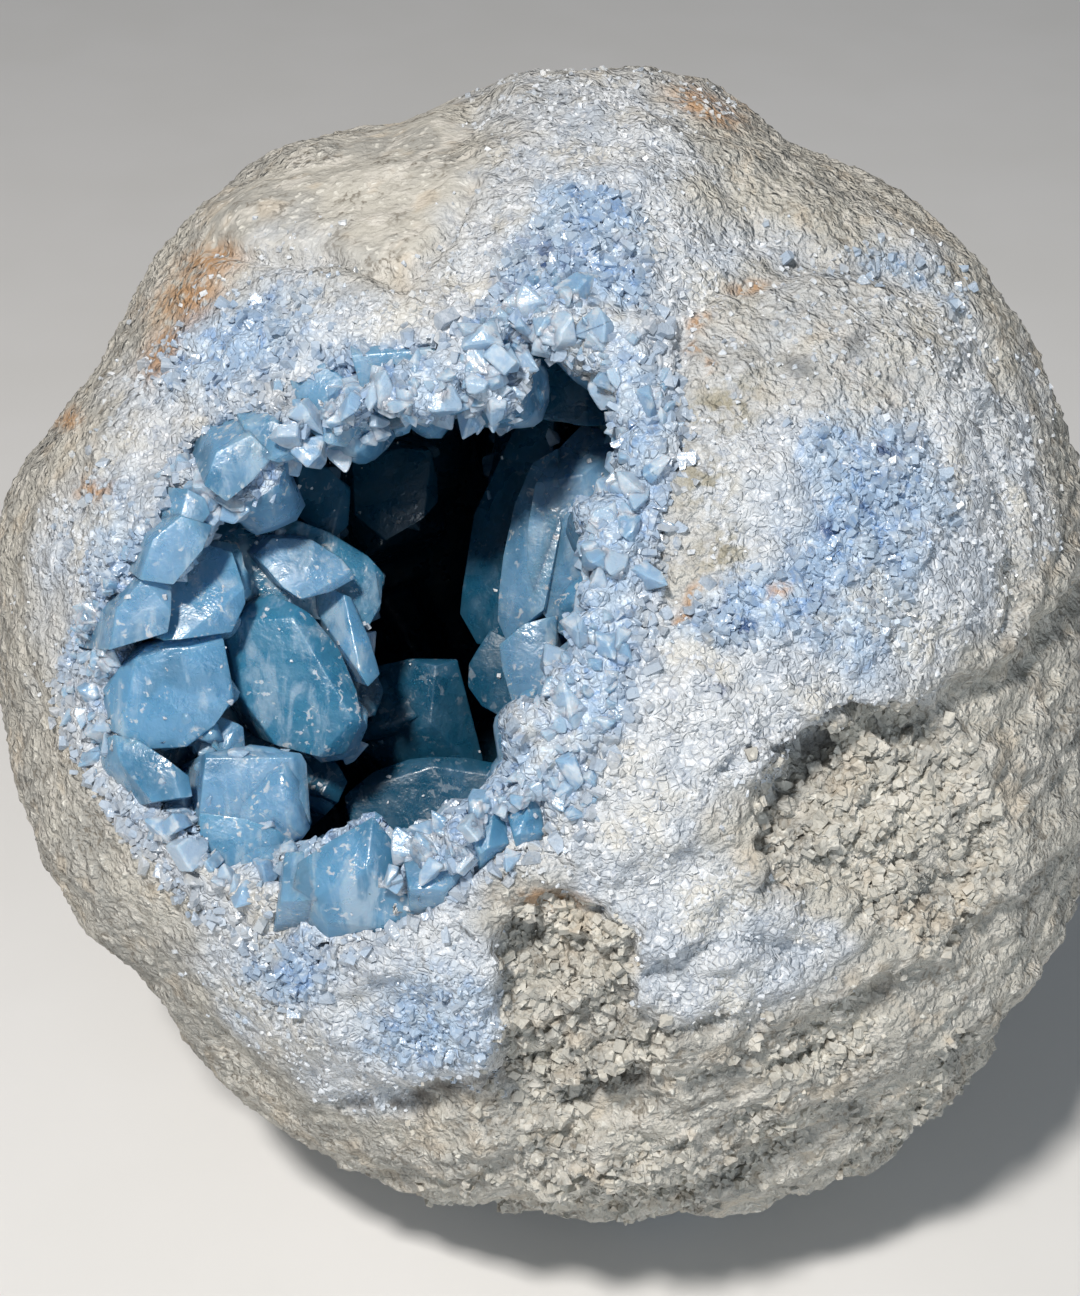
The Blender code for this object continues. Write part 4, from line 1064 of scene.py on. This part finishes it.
# %% Strew the grains
sugar = strew(rock, "sugar_grains", sugar_seeds, 4600, (0.4, 1.1),
              values["crystalline"] * front * (0.3 + 0.7 * patchy), seed=5)
bluish = values["crystalline"] * front * np.maximum(values["blue"], values["glassy"])
blue_grains = strew(rock, "blue_grains", blade_seeds, 1900, (0.7, 2.2), bluish * patchy,
                    1.1, 2.2, seed=25)
crumbs = strew(rock, "marl_crumbs", crumb_seeds, 5200, (0.6, 2.0),
               values["crumbly"] * front * (0.15 + 0.85 * patchy), seed=35)
seam = near_seam(points_of(rock), crust)
band = np.maximum(near_seam(points_of(crust), rock),
                  0.3 * rim_band(points_of(crust)) * (crust_reach > 82))
rim_grains = joined([
    strew(rock, "seam_grains", blade_seeds, 2500, (1.1, 2.5), seam, 1.2, 1.6, seed=45),
    strew(crust, "band_grains", blade_seeds, 1700, (0.9, 2.2), crust_free * band, 1.2, 1.8,
          seed=55),
], "rim_grains")
chips = strew(large, "bright_chips", sugar_seeds, 700, (0.25, 0.9), anywhere, seed=75)
for seeds in (sugar_seeds, blade_seeds, crumb_seeds, point_seeds):
    for grain in list(seeds.objects):
        bpy.data.objects.remove(grain)

# %% [markdown]
# ## Node helpers for the finishes
#
# Every colour here is a mix of mixes, so two small helpers do most of the work: one turns
# noise into a mask between 0 and 1, the other blends two colours by a mask. Each helper
# finds the material's tree through the socket that it is given. Sizes are in millimetres.

# %% Shader helpers


def new_finish(name):
    """A material, its shader, and the place on the object."""
    made = bpy.data.materials.new(name)
    made.use_nodes = True
    place = step(made.node_tree, "ShaderNodeTexCoord", {}).outputs["Object"]
    return made, made.node_tree.nodes["Principled BSDF"], place


def stored(place, name):
    """A value that the mesh carries."""
    return step(place.id_data, "ShaderNodeAttribute", {}, attribute_name=name).outputs["Fac"]


def limits(value, low, high, to_low=0.0, to_high=1.0):
    """Stretches a range of values onto another range, smoothly."""
    made = step(value.id_data, "ShaderNodeMapRange",
                {"Value": value, "From Min": low, "From Max": high, "To Min": to_low,
                 "To Max": to_high}, interpolation_type="SMOOTHSTEP")
    return made.outputs["Result"]


def mask(place, size, low=0.42, high=0.58, detail=2.0, rough=0.6, bend=0.0):
    """Noise with features of this size, as a mask."""
    noise = step(place.id_data, "ShaderNodeTexNoise",
                 {"Vector": place, "Scale": 1 / (size * MM), "Detail": detail,
                  "Roughness": rough, "Distortion": bend})
    return limits(noise.outputs["Fac"], low, high)


def grit(place, size):
    """Noise with soft edges, for fine bumps."""
    return mask(place, size, 0.3, 0.7)


def times(first, second):
    """The product of two values."""
    return step(first.id_data, "ShaderNodeMath", {0: first, 1: second},
                operation="MULTIPLY").outputs[0]


def plus(first, second):
    """The sum of two values."""
    return step(first.id_data, "ShaderNodeMath", {0: first, 1: second},
                operation="ADD").outputs[0]


def blend(share, first, second):
    """A mix of two colours; share is how much of the second one."""
    first = (*first, 1) if isinstance(first, tuple) else first
    second = (*second, 1) if isinstance(second, tuple) else second
    made = step(share.id_data, "ShaderNodeMix", {0: share, 6: first, 7: second},
                data_type="RGBA")
    return made.outputs[2]


# %% Cells and bumps
MIDDLE_GREY = (0.5, 0.5, 0.5)


def arrows(operation, first, second):
    """One step of arithmetic with directions or places."""
    other = "Scale" if operation == "SCALE" else 1
    return step(first.id_data, "ShaderNodeVectorMath", {0: first, other: second},
                operation=operation).outputs[0]


def cells(place, size, feature="F1", output="Distance"):
    """Cells of this size: the distance to each cell's middle, or its own colour."""
    made = step(place.id_data, "ShaderNodeTexVoronoi",
                {"Vector": place, "Scale": 1 / (size * MM)}, feature=feature)
    return made.outputs[output]


def bumped(height, depth):
    """The surface direction after a bump of this depth."""
    return step(height.id_data, "ShaderNodeBump",
                {"Height": height, "Distance": depth * MM, "Strength": 1.0}).outputs["Normal"]


def glinting(normal, place, size, amount):
    """Tilts each small cell of the surface its own way, as crystal facets do."""
    offset = arrows("SUBTRACT", cells(place, size, output="Color"), MIDDLE_GREY)
    moved = arrows("ADD", normal, arrows("SCALE", offset, amount))
    return step(place.id_data, "ShaderNodeVectorMath", {0: moved},
                operation="NORMALIZE").outputs[0]


def wobbled(place, size, amount):
    """The place, shifted a little by noise, so that cells don't look ruled."""
    noise = step(place.id_data, "ShaderNodeTexNoise",
                 {"Vector": place, "Scale": 1 / (size * MM), "Detail": 1.0})
    offset = arrows("SUBTRACT", noise.outputs["Color"], MIDDLE_GREY)
    return arrows("ADD", place, arrows("SCALE", offset, amount * MM))


# %% [markdown]
# ## Colours of the stone
#
# The marl is beige and grey. It breaks into crumbs, so its colour goes with its relief:
# the tops of the crumbs are painted paler as painted light, and the pores between them
# go darker, partly as real pores and partly as painted shade. The granular celestite is
# white where the grains are broken up and blue where they are clearer, with grey gaps
# between them that are painted shade.
# Each stone is a function that returns its colour and its fine relief, so that the rock,
# the crust's rim and the loose grains all share them.

# %% Marl
BEIGE, MARL_GREY, CREAM = (0.47, 0.45, 0.40), (0.36, 0.35, 0.32), (0.56, 0.535, 0.485)
WARM, LIT_CRUMB_TOP, PORE_AND_SHADE = (0.54, 0.44, 0.32), (0.68, 0.66, 0.60), (0.20, 0.18, 0.15)


def marl(place):
    """Colour and relief of beige to grey marl."""
    bent = wobbled(place, 1.5, 1.6)
    large_crumbs = times(limits(cells(bent, 2.3), 0.75, 0.1), 0.6)
    small_crumbs = times(limits(cells(bent, 1.0), 0.75, 0.1), 0.32)
    relief = plus(large_crumbs, small_crumbs)
    relief = plus(relief, times(grit(place, 0.5), 0.16))
    colour = blend(mask(place, 14), BEIGE, MARL_GREY)
    colour = blend(mask(place, 4.5, 0.5, 0.66), colour, CREAM)
    colour = blend(times(mask(place, 8, 0.54, 0.68), 0.35), colour, WARM)
    # Painted light on the crumb tops, and painted shade together with real pores in the low spots.
    colour = blend(limits(relief, 0.6, 1.0), colour, LIT_CRUMB_TOP)
    pores_and_shade = times(limits(relief, 0.26, 0.04), mask(place, 7, 0.4, 0.6))
    return blend(pores_and_shade, colour, PORE_AND_SHADE), relief


# %% Granular celestite
WHITE_GRAIN, GREY_GRAIN, BLUE_GRAIN = (0.55, 0.57, 0.59), (0.44, 0.48, 0.53), (0.36, 0.47, 0.59)
CLEAR_BLUE, DEEPER_BLUE, DUST = (0.29, 0.42, 0.60), (0.17, 0.31, 0.56), (0.60, 0.565, 0.49)
WHITE_FLECK, BLUE_FLECK, GAP_SHADE = (0.68, 0.70, 0.73), (0.58, 0.67, 0.77), (0.27, 0.31, 0.38)


def granular(place):
    """Colour and relief of white to blue granular celestite."""
    blue = stored(place, "blue")
    bent = wobbled(place, 2, 1.4)
    lumps = limits(cells(bent, 2.0), 0.8, 0.1)
    gaps = limits(cells(bent, 1.1, "DISTANCE_TO_EDGE"), 0.0, 0.22)
    relief = plus(times(lumps, 0.5), times(gaps, 0.4))
    relief = plus(relief, times(grit(place, 0.5), 0.15))
    colour = blend(mask(place, 9, 0.40, 0.62), WHITE_GRAIN, GREY_GRAIN)
    colour = blend(times(blue, 0.7), colour, BLUE_GRAIN)
    clear = times(blue, mask(place, 6, 0.30, 0.60, bend=0.4))
    colour = blend(times(clear, 0.75), colour, CLEAR_BLUE)
    deeper = times(blue, mask(place, 3.0, 0.52, 0.63, bend=0.6))
    colour = blend(times(deeper, 0.7), colour, DEEPER_BLUE)
    colour = blend(times(mask(place, 12, 0.50, 0.66, 4.0), 0.6), colour, DUST)
    bright = blend(blue, WHITE_FLECK, BLUE_FLECK)
    colour = blend(mask(place, 1.6, 0.54, 0.66), colour, bright)
    # Painted shade: the low gaps between the grains are greyed.
    return blend(times(limits(relief, 0.34, 0.05), 0.6), colour, GAP_SHADE), relief


# %% Finish of the rock
OLIVE, DARK_GREY, GLASSY_DARK = (0.27, 0.24, 0.16), (0.10, 0.11, 0.12), (0.04, 0.08, 0.19)
CRACK_SHADE, RUST = (0.09, 0.08, 0.07), (0.42, 0.23, 0.10)
GRAIN_BUMP, FACET_SIZE, FACET_TILT = 0.42, 1.1, 0.5


def spotted(place, colour):
    """The colour with the rock's stains, its olive, grey and glassy spots, and painted shade in cracks
    and pits.
    """
    olive = times(stored(place, "olive"), mask(place, 2, 0.4, 0.6))
    colour = blend(times(olive, 0.8), colour, OLIVE)
    colour = blend(times(stored(place, "grey"), 0.7), colour, DARK_GREY)
    glassy = times(stored(place, "glassy"), mask(place, 3, 0.36, 0.56))
    colour = blend(glassy, colour, GLASSY_DARK)
    # Painted shade in the cracks and pits, which are also sunk into the rock.
    crack_shade = plus(stored(place, "crack"), times(stored(place, "pit"), 0.8))
    crack_shade = times(crack_shade, mask(place, 3, 0.36, 0.56))
    colour = blend(times(crack_shade, 0.75), colour, CRACK_SHADE)
    stain = times(stored(place, "stain"), mask(place, 1.8, 0.32, 0.54))
    return blend(times(stain, 0.9), colour, RUST), glassy


def grain_facets(place, relief):
    """The surface direction on granular celestite: a bump, then a glint of its own per grain."""
    return glinting(bumped(relief, GRAIN_BUMP), place, FACET_SIZE, FACET_TILT)


def rock_finish(name, dull_part, bright_part):
    """Marl, granular celestite, or both by the map, with stains and spots."""
    made, shader, place = new_finish(name)
    crystal = stored(place, "crystalline")
    if dull_part:
        colour, relief = marl(place)
        normal = bumped(times(relief, limits(stored(place, "smooth"), 0, 1, 1, 0.35)), 1.0)
    if bright_part:
        bright, grains = granular(place)
        colour = blend(crystal, colour, bright) if dull_part else bright
        normal = normal if dull_part else grain_facets(place, grains)
    colour, glassy = spotted(place, colour)
    shiny = limits(plus(crystal, times(glassy, 0.6)), 0, 1.4, 0.85, 0.26)
    wire(shader, {"Base Color": colour, "Roughness": shiny, "Normal": normal})
    return made


# %% Finishes of the grains
SUGAR_WHITE, PALE_BLUE, CRUMB_PALE = (0.66, 0.69, 0.73), (0.42, 0.56, 0.74), (0.56, 0.535, 0.47)
CELESTITE_IOR = 1.62


def sugar_finish():
    """Loose grains of celestite, each a little different."""
    made, shader, place = new_finish("sugar_grains")
    lighter = limits(stored(place, "own"), 0.5, 1.0, 0, 0.6)
    wire(shader, {"Base Color": blend(lighter, granular(place)[0], SUGAR_WHITE),
                  "Roughness": 0.36, "Normal": bumped(grit(place, 0.6), 0.08)})
    return made


def blue_grain_finish():
    """Clearer grains, pale to rich blue."""
    made, shader, place = new_finish("blue_grains")
    paler = limits(stored(place, "own"), 0.0, 1.0, 0.5, 0.0)
    wire(shader, {"Base Color": blend(paler, granular(place)[0], PALE_BLUE),
                  "Roughness": 0.25, "IOR": CELESTITE_IOR, "Transmission Weight": 0.2,
                  "Normal": bumped(grit(place, 0.8), 0.06)})
    return made


def crumb_finish():
    """Crumbs of marl, each a little different."""
    made, shader, place = new_finish("marl_crumbs")
    colour, relief = marl(place)
    paler = limits(stored(place, "own"), 0.4, 1.0, 0, 0.5)
    wire(shader, {"Base Color": blend(paler, colour, CRUMB_PALE), "Roughness": 0.88,
                  "Normal": bumped(relief, 0.4)})
    return made


def rim_finish():
    """The crust's rough rim, where the crystals are too small to see through."""
    made, shader, place = new_finish("rough_rim")
    colour, relief = granular(place)
    wire(shader, {"Base Color": colour, "Roughness": 0.26,
                  "Normal": grain_facets(place, relief)})
    return made


# %% [markdown]
# ## Clear celestite
#
# Celestite is a clear to cloudy mineral with a higher refraction than glass. Its blue
# comes from inside, so part of the colour is in the volume: light loses red first and green
# next on its way through. Cloudy veils near the surface are a paler base colour, and some
# light scatters under the surface, which keeps the shaded sides from going grey. The small
# crystals have a simpler finish of their own, because they are too small to see into.

# %% Tones of the crystals
STREAK_STRETCH = (1.0, 0.6, 0.3)
TONES = {"dark_and_shaded": (0.012, 0.11, 0.20), "clear": (0.055, 0.26, 0.43), "blue": (0.15, 0.39, 0.63),
         "milky": (0.20, 0.42, 0.65), "shade": (0.03, 0.17, 0.31), "veil": (0.46, 0.62, 0.76),
         "hollow_shade": (0.012, 0.10, 0.185), "fleck": (0.70, 0.76, 0.82)}
ABSORBED = {"Color": (0.12, 0.50, 0.84, 1), "Density": 16.0}


def crystal_colour(place):
    """Dark (partly painted shade), clear, blue or milky by the stored value, then veils, shade, painted
    shade at the back of the hollow, and flecks.
    """
    hollow_shade, milky = stored(place, "hollow_shade"), stored(place, "milky")
    # Painted shade in part: the darkest tone stands for crystals that lie in shade.
    colour = blend(limits(milky, DARK_AND_SHADED, CLEAR), TONES["dark_and_shaded"], TONES["clear"])
    colour = blend(limits(milky, CLEAR, BLUE), colour, TONES["blue"])
    colour = blend(limits(milky, BLUE, MILKY), colour, TONES["milky"])
    colour = blend(times(mask(place, 9, 0.46, 0.66, 2.0, 0.5, 0.6), 0.6), colour, TONES["shade"])
    streaks = mask(arrows("MULTIPLY", place, STREAK_STRETCH), 3, 0.48, 0.68, 4.0, 0.65, 0.5)
    veil = times(streaks, limits(milky, 0.0, 0.5, 0.07, 0.75))
    colour = blend(veil, colour, TONES["veil"])
    # Painted shade: crystals darken towards the back of the hollow, and their flecks fade there.
    colour = blend(times(hollow_shade, 0.7), colour, TONES["hollow_shade"])
    flecks = times(mask(place, 1.3, 0.59, 0.65, bend=0.6), mask(place, 6, 0.46, 0.58))
    flecks = times(flecks, limits(hollow_shade, 0.2, 0.7, 0.9, 0.1))
    flecks = times(flecks, limits(milky, 0.0, 0.3, 0.35, 1.0))
    return blend(flecks, colour, TONES["fleck"])


# %% Finish of the crystals


def crystal_finish():
    """Clear to milky blue celestite with cloudy veils and bright flecks."""
    made, shader, place = new_finish("celestite")
    steps = plus(mask(place, 2.4, 0.3, 0.7, 2.0, 0.5, 0.5),
                 times(mask(place, 0.7, 0.35, 0.65), 0.4))
    wire(shader, {"Base Color": crystal_colour(place),
                  "Roughness": limits(grit(place, 4), 0, 1, 0.22, 0.50),
                  "IOR": CELESTITE_IOR, "Transmission Weight": 0.4,
                  "Subsurface Weight": 0.4, "Subsurface Radius": (0.4, 0.8, 1.0),
                  "Subsurface Scale": 4 * MM,
                  "Normal": glinting(bumped(steps, 0.06), place, 3.5, 0.14)})
    absorbing = step(made.node_tree, "ShaderNodeVolumeAbsorption", ABSORBED)
    wire(made.node_tree.nodes["Material Output"], {"Volume": absorbing.outputs[0]})
    return made


def druse_finish():
    """Small pale crystals, cloudy enough to glow where light goes through them."""
    made, shader, place = new_finish("pale_druse")
    colour = blend(stored(place, "own"), (0.24, 0.41, 0.61), (0.44, 0.56, 0.70))
    colour = blend(mask(place, 2.4, 0.46, 0.66), colour, (0.58, 0.67, 0.77))
    # Painted shade: the small crystals darken towards the back of the hollow.
    hollow_shade = limits(stored(place, "hollow_shade"), 0.05, 0.7, 0, 0.85)
    wire(shader, {"Base Color": blend(hollow_shade, colour, (0.03, 0.13, 0.22)), "Roughness": 0.28,
                  "IOR": CELESTITE_IOR, "Transmission Weight": 0.2,
                  "Subsurface Weight": 0.5, "Subsurface Radius": (0.6, 0.9, 1.0),
                  "Subsurface Scale": 2.5 * MM, "Normal": bumped(grit(place, 0.8), 0.06)})
    return made


# %% Give out the finishes
WORN_ANGLE = math.radians(32)


def dress(thing, slot, finish, *others):
    """Gives a piece its materials, and puts it on the geode."""
    thing.data.materials.clear()
    thing.data.materials.append(finish)
    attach(thing, "root")
    for other in others:
        thing.data.materials.append(other)


crystal_look, sugar_look, blue_look = crystal_finish(), sugar_finish(), blue_grain_finish()
dress(rock, "geode_rock", rock_finish("mixed_stone", True, True),
      rock_finish("marl", True, False), rock_finish("granular_celestite", False, True))
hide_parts("rock_shell")
dress(crust, "celestite_crystal", crystal_look, rim_finish())
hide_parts("crystal_crust")
dress(large, "celestite_crystal", crystal_look)
dress(druse, "celestite_crystal", druse_finish())
dress(sugar, "geode_rock", sugar_look)
dress(chips, "celestite_crystal", sugar_look)
dress(blue_grains, "celestite_crystal", blue_look)
dress(rim_grains, "celestite_crystal", blue_look)
dress(crumbs, "geode_rock", crumb_finish())

# %% [markdown]
# Faces of pure marl or pure crystal get the plain finish for it, and only the faces between
# them get the mixed one, because that one costs more time to render. Smooth shading comes
# last, on the large crystals only across their worn edges.

# %% Share the faces out
MARL_BELOW, CRYSTAL_ABOVE = 0.02, 0.98
share = stone_map(points_of(rock))["crystalline"][corners_of(rock)]
kind = np.where(share.max(axis=1) < MARL_BELOW, 1, np.where(share.min(axis=1) > CRYSTAL_ABOVE, 2, 0))
rock.data.polygons.foreach_set("material_index", kind.astype(np.int32))
print("faces of mixed stone, marl and granular celestite:", np.bincount(kind))
rough = rim_band(points_of(crust))[corners_of(crust)].mean(axis=1) > 0.5
crust.data.polygons.foreach_set("material_index", rough.astype(np.int32))
print("faces of the rough rim:", int(rough.sum()))
for thing in (rock, crust):
    pick(thing)
    bpy.ops.object.shade_smooth()
pick(large)
bpy.ops.object.shade_smooth_by_angle(angle=WORN_ANGLE)

# %% [markdown]
# ## The floor
#
# A plain pale floor catches the shadow and throws some light back up under the rock. It is
# staged, so it isn't part of the geode.

# %% Floor
FLOOR_SIDE = 4.0
FLOOR_MIDDLE = (0, 0.6, 0)
bpy.ops.object.select_all(action="DESELECT")
bpy.ops.mesh.primitive_plane_add(size=FLOOR_SIDE, location=FLOOR_MIDDLE)
floor = bpy.context.object
floor.name = "floor"
floor_look, shader, place = new_finish("pale_floor")
tone = blend(grit(place, 60), (0.70, 0.69, 0.675), (0.72, 0.71, 0.70))
wire(shader, {"Base Color": tone, "Roughness": 0.9})
floor.data.materials.append(floor_look)
